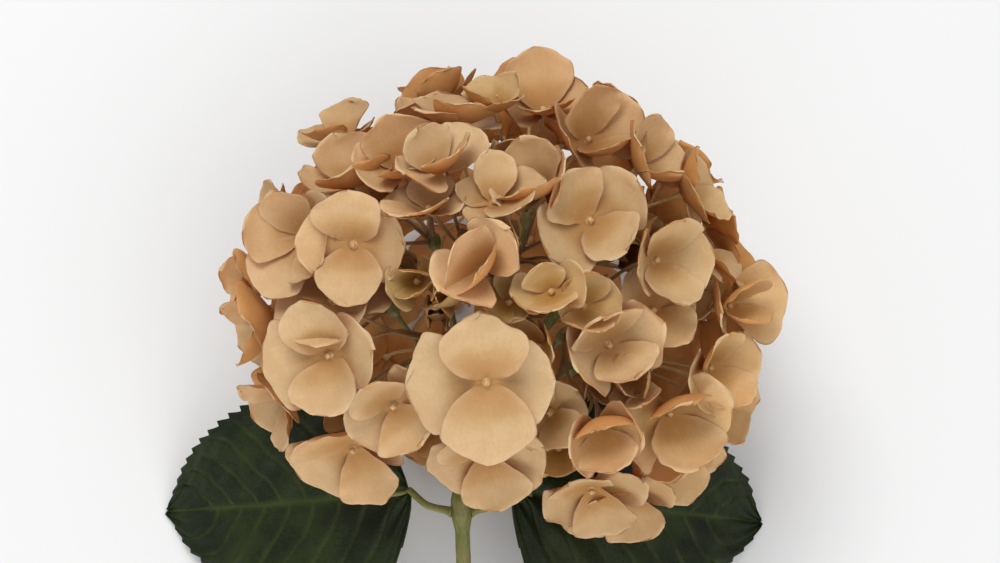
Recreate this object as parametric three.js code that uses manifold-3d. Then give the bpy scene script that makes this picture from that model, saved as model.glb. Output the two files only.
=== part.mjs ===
// A cut mophead hydrangea lying on its side: one leafy stem with its branching flower stalk, two leaves,
// and the florets of the head, each floret (or pair of florets on one forked stalk) a piece of its own.
// Millimetres, +Z up. The head is designed upright in its own frame (x across, y along the stem, z outwards
// from the face of the head), then laid down with the stem's cut end and the back of the head on z = 0.
import * as THREE from 'three';
import Module from 'manifold-3d';

const wasm = await Module();
wasm.setup();
const { Manifold, Mesh } = wasm;

// Driving dimensions
const HEAD_WIDTH = 200; // across the flower head, sepal tip to sepal tip
const HEAD_HEIGHT = 178; // along the stem
const HEAD_DEPTH = 164; // from the face of the head to its back
const STEM_LENGTH = 285; // from the head's centre to the cut end
const STEM_WIDTH = 6.4; // at the cut end
const LEAF_DROP = 80; // from the head's centre down to the pair of leaves
const STEM_SHIFT = -14; // the leaf joint sits to the left of the head's centre
const LEAF_LENGTH = 118; // blade only
const LEAF_WIDTH = 90;
const PETIOLE_LENGTH = 17;
const SEPAL_SCALE = 1.13; // on every sepal length below
const SEPAL_WIDTH = 1.14; // of a sepal's own length, where its neighbours leave room
const SEPAL_THICKNESS = 1.1; // at the middle of a sepal, its edges are sharp
const PEDICEL_WIDTH = 1.53; // a floret's own stalk
const GAP = 0.35; // between pieces that nearly touch
const CLEARANCE = 2.9; // kept between the sepals of neighbouring florets
const BACK_FLORETS = 45; // on the sides and back of the head
const INNER_FLORETS = 12; // small ones, deep between the others
const RAYS = 12; // branches of the flower stalk
const FLORET_PIECES = 57; // florets beyond this number share a forked stalk with a neighbour

// The head's back is pressed flat this far from its centre, and the stem's cut end meets the same surface.
const REST_DEPTH = HEAD_DEPTH / 2 - 1;
const LEAN = Math.asin((REST_DEPTH - STEM_WIDTH / 2) / STEM_LENGTH);

// Head shape that the hubs of the florets follow
const HUBS = { x: HEAD_WIDTH / 2 - 10, y: HEAD_HEIGHT / 2 - 10, z: HEAD_DEPTH / 2 - 8 };

const COLOURS = {
  sepal: [0xccab83, 0xd8bc98, 0xb98f61, 0xc6a578, 0xb7975c],
  leaf: 0x263312,
  stem: 0x6c6e2e,
};

// The florets of the face: where they sit on the head (degrees round from the face, degrees up from the
// middle, share of the head's radius), which way they look (degrees right, degrees up), how far they are
// turned about their own stalk, how long their sepals are and how far those stand up from flat (degrees).
const FACE_FLORETS = [
  [-84, 50, 1.04, -45, 60, 10, 13, 20],
  [-47, 37, 1, -30, 55, 40, 16, 12],
  [-29, 40, 1, -5, 25, 20, 18, 18],
  [-17, 26, 1, -20, 50, 5, 17, 30],
  [-54, 19, 1.02, -25, 0, 30, 19, 18],
  [-88, 22, 1.02, -70, 20, 15, 13, 25],
  [-37, 16, 1, -10, -5, 0, 16, 25],
  [-90, 7, 1.02, -65, -5, 40, 13, 25],
  [-69, -3, 1, -75, -20, 20, 17, 30],
  [-44, 0, 0.96, -20, 35, 25, 17, 15],
  [-29, 9, 0.8, 0, 0, 10, 10, 50],
  [-22, 52, 1, 0, 70, 30, 14, 15],
  [-14, 34, 1, 0, 45, 45, 17, 12],
  [-2, 28, 1, 0, 40, 20, 16, 20],
  [8, 47, 0.88, 0, 15, 0, 12, 40],
  [26, 66, 1.02, 5, 45, 10, 16, 30],
  [2, 62, 1, 0, 60, 35, 12, 30],
  [14, 32, 0.97, -30, 30, 15, 16, 35],
  [23, 24, 1, 5, 10, 40, 17, 18],
  [40, 52, 1, 25, 25, 20, 17, 25],
  [50, 41, 1, 45, 30, 0, 14, 25],
  [27, 18, 0.8, 0, 35, 30, 9, 50],
  [46, 18, 0.76, 10, 10, 5, 8, 50],
  [57, 31, 1.02, 60, 25, 30, 14, 25],
  [40, 12, 1.02, 35, 0, 5, 17, 40],
  [63, 12, 1, 70, 30, 20, 15, 20],
  [60, 2, 0.86, 40, 0, 40, 12, 35],
  [66, -1, 1.02, 45, 5, 10, 17, 30],
  [44, -2, 0.92, 20, 10, 35, 13, 35],
  [64, -17, 1.03, 40, -5, 25, 18, 42],
  [52, -28, 1.02, 25, -15, 15, 18, 22],
  [39, -22, 0.93, 10, -5, 0, 14, 40],
  [84, -28, 1.05, 60, -20, 20, 14, 25],
  [84, -44, 1.04, 35, -45, 30, 16, 35],
  [66, -44, 0.96, 40, -30, 5, 15, 35],
  [-22, 7, 0.86, -10, 10, 20, 10, 45],
  [-18, -2, 0.8, 0, 0, 0, 8, 60],
  [-11, 4, 0.9, -20, 10, 30, 10, 45],
  [-1, 21, 0.92, 0, -20, 10, 12, 40],
  [-2, 9, 1, -10, 10, 45, 16, 30],
  [3, 0, 0.9, 0, 20, 15, 10, 40],
  [11, 3, 1.05, -15, 20, 20, 18, 22],
  [20, -1, 1, 15, 10, 0, 15, 28],
  [27, -9, 1, 10, -10, 30, 15, 22],
  [11, -11, 0.91, -40, 0, 10, 11, 40],
  [-1, -18, 1.06, 0, -10, 4, 20, 14],
  [-41, -12, 1.04, -25, -5, 10, 18, 20],
  [-29, -26, 1.02, -5, -20, 38, 15, 15],
  [-86, -26, 1.02, -60, -35, 20, 15, 20],
  [-60, -34, 0.86, -20, -30, 0, 10, 50],
  [-56, -43, 1, -15, -45, 30, 18, 12],
  [-3, -43, 1, 0, -40, 15, 17, 18],
  [17, -34, 0.94, 0, -10, 45, 12, 45],
  [27, -32, 1.02, 10, -20, 20, 15, 25],
  [29, -50, 0.9, 0, -30, 10, 10, 45],
  [45, -58, 1.02, 0, -50, 30, 16, 15],
  [80, -58, 1.04, 10, -50, 40, 18, 15],
];

const DEGREE = Math.PI / 180;
const vec = (x, y, z) => new THREE.Vector3(x, y, z);
const DOWN = vec(0, -Math.sin(LEAN), -Math.cos(LEAN));

let seed = 34;
/** The next number, 0 to 1, of a fixed random row. */
function random() {
  seed = (seed * 1664525 + 1013904223) % 4294967296;
  return seed / 4294967296;
}

/** A random number between two limits. */
function between(low, high) {
  return low + (high - low) * random();
}

/** The way that something looks when it turns right by yaw and up by pitch, in degrees. */
function facing(yaw, pitch) {
  const level = Math.cos(pitch * DEGREE);
  return vec(Math.sin(yaw * DEGREE) * level, Math.sin(pitch * DEGREE), Math.cos(yaw * DEGREE) * level);
}

/** The point of the head at a direction, at a share of its radius. */
function onHead(direction, share) {
  const { x, y, z } = direction;
  const reach = share / Math.hypot(x / HUBS.x, y / HUBS.y, z / HUBS.z);
  return direction.clone().multiplyScalar(reach);
}

/** A solid from corner points and faces, counter-clockwise seen from outside. */
function solid(points, faces) {
  return new Manifold(
    new Mesh({
      numProp: 3,
      vertProperties: new Float32Array(points.flatMap((p) => [p.x, p.y, p.z])),
      triVerts: new Uint32Array(faces.flat()),
    }),
  );
}

/** A square-ended rod of rings round the given path. Returns its points and faces. */
function rod(path, radii, sides) {
  const points = [];
  const faces = [];
  let side = null;
  path.forEach((at, i) => {
    const along = path[Math.min(i + 1, path.length - 1)].clone().sub(path[Math.max(i - 1, 0)]).normalize();
    if (!side) {
      side = Math.abs(along.z) < 0.8 ? vec(0, 0, 1) : vec(1, 0, 0);
    }
    side = side.clone().addScaledVector(along, -side.dot(along)).normalize();
    const other = along.clone().cross(side);
    for (let k = 0; k < sides; k += 1) {
      const turn = (2 * Math.PI * k) / sides;
      const out = side.clone().multiplyScalar(Math.cos(turn)).addScaledVector(other, Math.sin(turn));
      points.push(at.clone().addScaledVector(out, radii[i]));
    }
  });
  for (let i = 0; i + 1 < path.length; i += 1) {
    for (let k = 0; k < sides; k += 1) {
      const a = i * sides + k;
      const b = i * sides + ((k + 1) % sides);
      faces.push([a, b, b + sides], [a, b + sides, a + sides]);
    }
  }
  const last = (path.length - 1) * sides;
  for (let k = 1; k + 1 < sides; k += 1) {
    faces.push([0, k + 1, k], [last, last + k, last + k + 1]);
  }
  return solid(points, faces);
}

/** A point of the curve through four control points. */
function bezier(p, t) {
  const s = 1 - t;
  return p[0]
    .clone()
    .multiplyScalar(s * s * s)
    .addScaledVector(p[1], 3 * s * s * t)
    .addScaledVector(p[2], 3 * s * t * t)
    .addScaledVector(p[3], t * t * t);
}

const HUB_RADIUS = 2.3;
const HUB_HEIGHT = 1.5;
// A sepal's outline: share of its length along it, share of its width to the side.
const OUTLINE = { left: [0.5, -0.5], tipLeft: [0.93, -0.27], tipRight: [0.93, 0.27], right: [0.5, 0.5] };
const MIDDLE = 0.55;
// Where a sepal is felt by its neighbours: rows along it, and how far to the side each row reaches.
const STALK_RINGS = [0.25, 0.62, 1];
const FELT_ROWS = [
  [0.04, 0.1, 2],
  [0.24, 0.28, 3],
  [0.42, 0.45, 5],
  [0.6, 0.49, 5],
  [0.79, 0.41, 4],
  [0.95, 0.26, 3],
];
const FEELERS = FELT_ROWS.flatMap(([along, reach, count]) =>
  Array.from({ length: count }, (_, i) => [along, reach * ((2 * i) / (count - 1) - 1)]),
);

/** One sepal of a floret: how it stands, bends and rolls, and where its points lie. */
class Sepal {
  constructor(floret, azimuth, length, tilt, width) {
    this.floret = floret;
    this.azimuth = azimuth;
    this.fullLength = length;
    this.size = 1;
    this.wantedTilt = tilt;
    this.tilt = tilt;
    this.roll = 0;
    this.width = width;
    this.cup = between(0.05, 0.13);
    this.curl = between(-0.1, 0.12);
    this.wave = between(-0.07, 0.07);
  }

  get length() {
    return this.fullLength * this.size * this.floret.growth;
  }

  /** The sepal's own directions: outwards along it, to its right, and up out of its inner face. */
  axes() {
    const { right, up, look } = this.floret;
    const level = right.clone().multiplyScalar(Math.cos(this.azimuth));
    level.addScaledVector(up, Math.sin(this.azimuth));
    const side = look.clone().cross(level).normalize();
    const along = level.clone().multiplyScalar(Math.cos(this.tilt));
    along.addScaledVector(look, Math.sin(this.tilt));
    const out = along.clone().cross(side);
    return { level, along, side, out };
  }

  /** The point a share along the sepal, a share of its width to the side and a share of its length up. */
  point(axes, along, across, lift = 0) {
    const reach = along * this.length;
    const half = across * this.width * this.length;
    const edge = Math.abs(across) * 2;
    const bend = this.cup * edge * edge * Math.sin(Math.PI * Math.min(along, 0.7));
    const rise = (bend + this.curl * along * along * along + this.wave * across * along + lift) * this.length;
    const turn = this.roll * along;
    const shift = half * Math.cos(turn) - rise * Math.sin(turn);
    const height = half * Math.sin(turn) + rise * Math.cos(turn);
    const hub = HUB_RADIUS * this.floret.growth;
    const { at } = this.floret;
    const { level, along: a, side: s, out: o } = axes;
    return vec(
      at.x + level.x * hub + a.x * reach + s.x * shift + o.x * height,
      at.y + level.y * hub + a.y * reach + s.y * shift + o.y * height,
      at.z + level.z * hub + a.z * reach + s.z * shift + o.z * height,
    );
  }
}

/** A floret: four or five sepals round a bud, on a stalk that ends at a branch of the head. */
class Floret {
  constructor({ at, look, spin, length, tilt, count }) {
    this.at = at.clone();
    this.wantedAt = at.clone();
    this.look = look.clone().normalize();
    this.wantedLook = this.look.clone();
    this.spin = spin;
    this.growth = 0.3;
    this.bend = vec(0, 0, 0);
    this.stalkReach = PEDICEL_WIDTH / 2 + 0.6;
    this.turnTo(this.look);
    const sector = 1.9 * Math.tan(Math.PI / count);
    this.sepals = Array.from({ length: count }, (_, k) => {
      const stand = (tilt + (k % 2 ? 7 : -5) + between(-7, 7)) * DEGREE;
      const room = sector * (OUTLINE.left[0] * Math.cos(stand) + HUB_RADIUS / (length * SEPAL_SCALE));
      const width = Math.min(SEPAL_WIDTH * between(0.9, 1.08), room);
      const turn = spin + (2 * Math.PI * k) / count;
      return new Sepal(this, turn, length * SEPAL_SCALE * between(0.9, 1.08), stand, width);
    });
  }

  /** Points the floret along a direction, keeping its spin. */
  turnTo(look) {
    this.look = look.clone().normalize();
    const upwards = Math.abs(this.look.y) < 0.9 ? vec(0, 1, 0) : vec(0, 0, -1);
    this.right = upwards.clone().cross(this.look).normalize();
    this.up = this.look.clone().cross(this.right);
  }

  /** The control points of the stalk, from under the hub to the branch. */
  stalk() {
    const under = this.at.clone().addScaledVector(this.look, -HUB_HEIGHT);
    const reach = under.distanceTo(this.root);
    const below = under.clone().addScaledVector(this.look, -0.35 * reach).add(this.bend);
    const before = this.root.clone().addScaledVector(this.rootWay, 0.35 * reach);
    before.addScaledVector(this.bend, 0.35);
    return [under, below, before, this.root];
  }
}

/** The florets of the face, then the florets of a spiral round the rest of the head. */
function plantFlorets(leaves) {
  const leafPoints = leaves.flatMap(({ points }) => points.map((point) => point.at));
  const florets = [];
  for (const [around, rise, share, yaw, pitch, spin, length, tilt] of FACE_FLORETS) {
    const level = Math.cos(rise * DEGREE);
    const x = HUBS.x * Math.sin(around * DEGREE) * level;
    const z = HUBS.z * Math.cos(around * DEGREE) * level;
    const at = vec(x, HUBS.y * Math.sin(rise * DEGREE), z).multiplyScalar(share);
    const count = florets.length % 9 === 4 ? 5 : 4;
    florets.push(new Floret({ at, look: facing(yaw, pitch), spin: spin * DEGREE, length, tilt, count }));
  }
  const tries = 260;
  for (let i = 0; i < tries && florets.length < FACE_FLORETS.length + BACK_FLORETS; i += 1) {
    const y = 0.98 - (1.86 * (i + 0.5)) / tries;
    const level = Math.sqrt(1 - y * y);
    const turn = i * 2.39996;
    const look = vec(Math.sin(turn) * level, y, Math.cos(turn) * level);
    const at = onHead(look, between(0.94, 1.02));
    const near = florets.some((f) => f.wantedAt.distanceTo(at) < 21.5);
    const inner = at.clone().multiplyScalar(0.7);
    const behindLeaf = leafPoints.some((p) => p.distanceTo(at) < 13 || p.distanceTo(inner) < 9);
    if (look.z > 0.12 || y < -0.8 || near || behindLeaf) {
      continue;
    }
    const normal = vec(at.x / HUBS.x ** 2, at.y / HUBS.y ** 2, at.z / HUBS.z ** 2).normalize();
    const sway = vec(between(-0.3, 0.3), between(-0.3, 0.3), between(-0.3, 0.3));
    const count = random() < 0.12 ? 5 : 4;
    florets.push(
      new Floret({
        at,
        look: normal.add(sway),
        spin: between(0, 90) * DEGREE,
        length: between(14.5, 17.5),
        tilt: between(8, 30),
        count,
      }),
    );
  }
  for (let i = 0; i < INNER_FLORETS; i += 1) {
    const yaw = between(-35, 35) + 38 * ((i % 3) - 1);
    const look = facing(yaw, 40 - (100 * i) / INNER_FLORETS + between(-8, 8));
    const at = onHead(look, between(0.72, 0.8));
    const spin = between(0, 90) * DEGREE;
    florets.push(new Floret({ at, look, spin, length: between(9, 12), tilt: between(35, 60), count: 4 }));
  }
  return florets;
}

/** Puts neighbouring florets in pairs until few enough pieces are left. Returns the pieces. */
function pairFlorets(florets) {
  const pieces = florets.map((f) => [f]);
  const links = [];
  for (let i = 0; i < florets.length; i += 1) {
    for (let j = i + 1; j < florets.length; j += 1) {
      links.push([florets[i].at.distanceTo(florets[j].at), i, j]);
    }
  }
  links.sort((a, b) => a[0] - b[0]);
  let spare = florets.length - FLORET_PIECES;
  for (const [, i, j] of links) {
    if (spare > 0 && pieces[i]?.length === 1 && pieces[j]?.length === 1) {
      pieces[i] = [florets[i], florets[j]];
      pieces[j] = null;
      spare -= 1;
    }
  }
  return pieces.filter(Boolean);
}

/** The middle of a piece: the mean of its florets' places. */
function middleOf(piece) {
  return piece.reduce((sum, f) => sum.add(f.at), vec(0, 0, 0)).divideScalar(piece.length);
}

/** The branches of the stalk: each tip points at the middle of the pieces that are nearest to it. */
function plantRays(pieces) {
  const hub = vec(STEM_SHIFT * 0.6, -0.25 * HEAD_HEIGHT, 0);
  const middles = pieces.map(middleOf);
  let ways = Array.from({ length: RAYS }, (_, i) => {
    const y = 0.93 - (1.6 * i) / (RAYS - 1);
    const level = Math.sqrt(1 - y * y);
    return vec(Math.sin(i * 2.4 + 0.6) * level, y, Math.cos(i * 2.4 + 0.6) * level);
  });
  let groups = [];
  for (let round = 0; round < 12; round += 1) {
    groups = ways.map(() => []);
    middles.forEach((at, i) => {
      const distances = ways.map((way) => onHead(way, 1).distanceTo(at));
      groups[distances.indexOf(Math.min(...distances))].push(i);
    });
    groups = groups.filter((group) => group.length);
    ways = groups.map((group) => group.reduce((sum, i) => sum.add(middles[i]), vec(0, 0, 0)).normalize());
  }
  return ways.map((way, n) => {
    const tip = onHead(way, 0.46);
    const stalks = groups[n].map((i) => ({ piece: pieces[i], at: middles[i] }));
    return { hub, tip, way: tip.clone().sub(hub).normalize(), knob: 3.8, stalks };
  });
}

/** Gives every piece's stalk a place of its own on the knob of its branch. */
function rootPieces(rays) {
  for (const ray of rays) {
    const apart = 2.3 * PEDICEL_WIDTH;
    const reach = ray.knob + 2 * GAP;
    const ways = ray.stalks.map(({ at }) => at.clone().sub(ray.tip).normalize());
    for (let step = 0; step < 60; step += 1) {
      ways.forEach((way, i) => {
        ways.forEach((other, j) => {
          const away = way.clone().sub(other);
          const space = away.length() * reach;
          if (i !== j && space < apart) {
            way.addScaledVector(away.normalize(), 0.1).normalize();
          }
        });
        if (way.dot(ray.way) < 0.1) {
          way.addScaledVector(ray.way, 0.1).normalize();
        }
      });
    }
    ray.stalks.forEach(({ piece, at }, i) => {
      const root = ray.tip.clone().addScaledVector(ways[i], reach);
      const fork = root.clone().addScaledVector(ways[i], Math.min(7, 0.25 * at.distanceTo(root)));
      piece.forEach((floret) => {
        floret.base = root;
        floret.baseWay = ways[i];
        floret.root = piece.length > 1 ? fork : root;
        floret.rootWay = ways[i];
        floret.mate = piece.find((other) => other !== floret) ?? null;
      });
    });
  }
}

/** The felt points of one sepal or stalk, with the ball that holds them all. */
function limb(floret, sepal, points, reach) {
  const middle = points.reduce((sum, p) => sum.add(p.at), vec(0, 0, 0)).divideScalar(points.length);
  const radius = Math.max(...points.map((p) => p.at.distanceTo(middle))) + reach;
  return { floret, sepal, points, reach, middle, radius };
}

/** The limbs of a floret as it is at this moment. */
function limbsOf(floret) {
  const limbs = floret.sepals.map((sepal) => {
    const axes = sepal.axes();
    const points = FEELERS.map(([along, across]) => ({ at: sepal.point(axes, along, across), axes, across }));
    const bud = floret.at.clone().addScaledVector(floret.look, HUB_HEIGHT + 0.8);
    points.push({ at: bud, axes, across: 0 });
    return limb(floret, sepal, points, CLEARANCE / 2);
  });
  const path = floret.stalk();
  const knots = [0, ...STALK_RINGS].map((t) => bezier(path, t));
  const points = knots.slice(1).flatMap((to, i) => {
    const way = to.clone().sub(knots[i]).normalize();
    return [0.3, 0.65, 1].map((t) => ({ at: knots[i].clone().lerp(to, t), way }));
  });
  limbs.push(limb(floret, null, points, floret.stalkReach));
  if (floret.mate) {
    const way = floret.rootWay;
    const shared = [0.3, 0.6, 0.9].map((t) => ({ at: floret.base.clone().lerp(floret.root, t), way }));
    limbs.push(limb(floret, null, shared, floret.stalkReach));
  }
  return limbs;
}

/** Calls a function with every two points of different pieces that are closer than they may be. */
function forClose(limbs, each) {
  for (let i = 0; i < limbs.length; i += 1) {
    const a = limbs[i];
    for (let j = 0; j < i; j += 1) {
      const b = limbs[j];
      const joined = a.floret?.mate === b.floret && !a.sepal && !b.sepal;
      if (a.floret === b.floret || joined || a.middle.distanceTo(b.middle) > a.radius + b.radius) {
        continue;
      }
      const need = a.reach + b.reach;
      for (const p of a.points) {
        for (const q of b.points) {
          if (p.at.distanceToSquared(q.at) < need * need) {
            each(a, p, b, q, need);
          }
        }
      }
    }
  }
}

/** Moves a floret's place, look, stalk and sepals by what its felt points were pushed. */
function giveWay(floret, pushes, pull) {
  const move = vec(0, 0, 0);
  const turn = vec(0, 0, 0);
  const bend = vec(0, 0, 0);
  const tilts = new Map();
  let count = 0;
  let bends = 0;
  for (const { sepal, point, push } of pushes) {
    const arm = point.at.clone().sub(floret.at);
    if (sepal) {
      const lever = arm.length() + 4;
      move.add(push);
      turn.addScaledVector(arm.cross(push), 1 / (lever * lever));
      count += 1;
      const own = tilts.get(sepal) ?? { tilt: 0, roll: 0, count: 0 };
      own.tilt += push.dot(point.axes.out) / lever;
      own.roll += (push.dot(point.axes.out) * Math.sign(point.across)) / lever;
      own.count += 1;
      tilts.set(sepal, own);
    } else {
      bend.add(push);
      bends += 1;
      move.addScaledVector(push, 0.3);
    }
  }
  if (count + bends) {
    floret.at.addScaledVector(move, 1.1 / (count + bends));
  }
  if (count) {
    const look = floret.look.clone().addScaledVector(turn.clone().cross(floret.look), 0.8 / count);
    floret.turnTo(look.lerp(floret.wantedLook, pull));
  }
  if (bends) {
    floret.bend.addScaledVector(bend, 1.4 / bends).clampLength(0, 7);
  }
  for (const [sepal, own] of tilts) {
    sepal.tilt = THREE.MathUtils.clamp(sepal.tilt + (0.9 * own.tilt) / own.count, -0.5, 1.35);
    sepal.roll = THREE.MathUtils.clamp(sepal.roll + (0.5 * own.roll) / own.count, -0.6, 0.6);
  }
  floret.at.lerp(floret.wantedAt, pull);
  floret.bend.multiplyScalar(1 - pull);
  for (const sepal of floret.sepals) {
    sepal.tilt += (sepal.wantedTilt - sepal.tilt) * pull;
    sepal.roll *= 1 - pull;
  }
}

/** Lets the florets give way to each other, first while they grow and then as they settle. */
function settle(florets, fixed, steps, growing, pull) {
  for (let step = 0; step < steps; step += 1) {
    const growth = growing ? 0.3 + (0.7 * (step + 1)) / steps : 1;
    florets.forEach((floret) => {
      floret.growth = growth;
    });
    const pushes = new Map(florets.map((floret) => [floret, []]));
    const limbs = florets.flatMap(limbsOf);
    forClose([...fixed, ...limbs], (a, p, b, q, need) => {
      const away = p.at.clone().sub(q.at);
      if (p.way && q.way) {
        const across = p.way.clone().cross(q.way);
        if (across.length() > 0.3) {
          away.copy(across.multiplyScalar(Math.sign(away.dot(across)) || 1)).setLength(0.5);
        }
      }
      const space = Math.max(away.length(), 0.01);
      const share = a.floret && b.floret ? 0.5 : 1;
      away.multiplyScalar(((need - space) / space) * share);
      pushes.get(a.floret)?.push({ sepal: a.sepal, point: p, push: away });
      pushes.get(b.floret)?.push({ sepal: b.sepal, point: q, push: away.clone().negate() });
    });
    for (const { floret, sepal, points } of limbs) {
      for (const point of points) {
        const under = point.at.dot(DOWN) - (REST_DEPTH - 0.6);
        if (under > 0) {
          pushes.get(floret).push({ sepal, point, push: DOWN.clone().multiplyScalar(-under) });
        }
      }
    }
    florets.forEach((floret) => giveWay(floret, pushes.get(floret), pull));
  }
}

/** A floret's closed body. */
function floretSolid(floret) {
  const { at, look, sepals } = floret;
  const count = sepals.length;
  const points = [at.clone().addScaledVector(look, HUB_HEIGHT + 1.6)];
  const faces = [];
  const under = [];
  const step = (2 * Math.PI) / count;
  const hubPoint = (turn, radius, rise) => {
    const { right, up } = floret;
    return at
      .clone()
      .addScaledVector(right, Math.cos(turn) * radius)
      .addScaledVector(up, Math.sin(turn) * radius)
      .addScaledVector(look, rise);
  };
  const axesOf = sepals.map((sepal) => sepal.axes());
  const above = SEPAL_THICKNESS / 2;
  // Per sepal: base left, base middle, base right, then left, tip left, tip right, right, middle, underside.
  sepals.forEach((sepal, k) => {
    const axes = axesOf[k];
    const turn = sepal.azimuth;
    points.push(hubPoint(turn - 0.3 * step, HUB_RADIUS, above), hubPoint(turn, HUB_RADIUS * 1.12, above));
    points.push(hubPoint(turn + 0.3 * step, HUB_RADIUS, above));
    for (const [along, across] of [OUTLINE.left, OUTLINE.tipLeft, OUTLINE.tipRight, OUTLINE.right]) {
      points.push(sepal.point(axes, along, across));
    }
    const middle = sepal.point(axes, MIDDLE, 0);
    points.push(middle.clone().addScaledVector(axes.out, above), middle.addScaledVector(axes.out, -above));
  });
  sepals.forEach((sepal, k) => {
    under.push(points.length);
    points.push(hubPoint(sepal.azimuth + step / 2, HUB_RADIUS * 0.75, -HUB_HEIGHT * 0.4));
  });
  sepals.forEach((_, k) => {
    const first = 1 + 9 * k;
    const own = Array.from({ length: 9 }, (_, n) => first + n);
    const [baseL, baseM, baseR, left, tipL, tipR, right, middle, below] = own;
    const nextL = 1 + 9 * ((k + 1) % count);
    const gapL = under[(k + count - 1) % count];
    const gapR = under[k];
    const ring = [baseL, left, tipL, tipR, right, baseR, baseM];
    ring.forEach((corner, i) => faces.push([middle, corner, ring[(i + 1) % ring.length]]));
    faces.push([0, baseL, baseM], [0, baseM, baseR], [0, baseR, nextL]);
    const back = [gapL, left, tipL, tipR, right, gapR];
    back.forEach((corner, i) => faces.push([below, back[(i + 1) % back.length], corner]));
    faces.push([gapL, left, baseL], [baseR, right, gapR], [baseR, gapR, nextL]);
  });
  // The stalk carries on from the hub's underside, with as many sides as the floret has sepals.
  const path = floret.stalk();
  let ring = under;
  let before = path[0];
  STALK_RINGS.forEach((t) => {
    const centre = bezier(path, t);
    const along = bezier(path, t + 0.01).sub(bezier(path, t - 0.01)).normalize();
    const radius = PEDICEL_WIDTH / 2;
    const next = ring.map((corner) => {
      const out = points[corner].clone().sub(before);
      out.addScaledVector(along, -out.dot(along)).normalize();
      points.push(centre.clone().addScaledVector(out, radius));
      return points.length - 1;
    });
    ring.forEach((corner, k) => {
      const after = (k + 1) % ring.length;
      faces.push([corner, next[k], next[after]], [corner, next[after], ring[after]]);
    });
    ring = next;
    before = centre;
  });
  for (let k = 1; k + 1 < ring.length; k += 1) {
    faces.push([ring[0], ring[k + 1], ring[k]]);
  }
  const body = solid(points, faces);
  return body.volume() > 0 ? body : solid(points, faces.map(([a, b, c]) => [a, c, b]));
}

/** A body with the pockets filled that two stalks can close off where they meet. */
function filled(body) {
  const shells = body.decompose();
  return shells.length > 1 ? Manifold.compose(shells.filter((shell) => shell.volume() > 0)) : body;
}

/** One piece: a floret, or two florets joined at a forked stalk. */
function pieceSolid(piece) {
  const bodies = piece.map(floretSolid);
  if (piece.length > 1) {
    const [{ base, root, rootWay }] = piece;
    const near = root.clone().addScaledVector(rootWay, -1.3);
    const past = root.clone().addScaledVector(rootWay, 1);
    const widths = [0.55, 0.6, 0.95, 0.7].map((share) => share * PEDICEL_WIDTH);
    bodies.push(rod([base, near, root, past], widths, 5));
  }
  return filled(Manifold.union(bodies));
}

/** Shortens sepals, moves stalks apart and settles until no two pieces touch. Returns the pieces' bodies. */
function clearPieces(pieces, fixed, fixedBodies) {
  const apart = (a, b) => [0, 1, 2].some((n) => a.max[n] + GAP < b.min[n] || b.max[n] + GAP < a.min[n]);
  const standing = fixedBodies.map((body) => ({ body, box: body.boundingBox(), limbs: fixed }));
  for (let round = 0; ; round += 1) {
    const moving = pieces.map((piece) => {
      const body = pieceSolid(piece);
      return { body, box: body.boundingBox(), limbs: piece.flatMap(limbsOf) };
    });
    let touching = 0;
    moving.forEach((a, i) => {
      for (const b of [...moving.slice(i + 1), ...standing]) {
        if (!apart(a.box, b.box) && a.body.minGap(b.body, GAP) < GAP * 0.8) {
          giveRoom(a.limbs, b.limbs);
          giveRoom(b.limbs, a.limbs);
          touching += 1;
        }
      }
    });
    if (!touching || round === 30) {
      return { bodies: moving.map(({ body }) => body), touching };
    }
    settle(pieces.flat(), fixed, 3, false, 0);
  }
}

/** Shortens the sepals, and widens the berth of the stalks, that come nearest to another piece. */
function giveRoom(limbs, others) {
  const near = others.flatMap((other) => other.points);
  for (const { floret, sepal, points, reach } of limbs.filter((one) => one.floret)) {
    const gap = Math.min(...points.flatMap((p) => near.map((q) => p.at.distanceTo(q.at))));
    if (sepal && gap < CLEARANCE * 1.15) {
      sepal.size *= 0.95;
    }
    if (!sepal && gap < 2.4 * reach) {
      floret.stalkReach = Math.min(floret.stalkReach * 1.08, 1.6 * PEDICEL_WIDTH);
    }
  }
}

/** The stem with its leaf joint, and the branches that carry the florets. */
function stemSolid(rays) {
  const { hub } = rays[0];
  const joint = vec(STEM_SHIFT, -LEAF_DROP, 0);
  const foot = vec(STEM_SHIFT * 0.2, -STEM_LENGTH, 0);
  const along = (share, lift) => foot.clone().lerp(joint, share).add(vec(-1.5 * lift, 0, lift));
  const path = [foot, along(0.35, 1), along(0.7, 0.8)];
  path.push(...[-9, -3, 3, 9].map((rise) => joint.clone().add(vec(-rise * 0.04, rise, 0))));
  path.push(joint.clone().lerp(hub, 0.6), hub.clone().add(vec(0, 2, 0)));
  const radii = [1, 0.98, 0.94, 0.95, 1.35, 1.35, 0.88, 0.85, 0.9].map((share) => (share * STEM_WIDTH) / 2);
  const parts = [rod(path, radii, 12)];
  for (const ray of rays) {
    const { tip, knob, way } = ray;
    parts.push(rod(rayLine(ray), [1.7, 1.35, 1.3], 6));
    const ends = [-1, -0.5, 0.5, 1].map((share) => tip.clone().addScaledVector(way, share * knob));
    parts.push(rod(ends, [0.35, 0.88, 0.88, 0.35].map((share) => share * knob * 0.98), 6));
  }
  return Manifold.union(parts);
}

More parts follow.
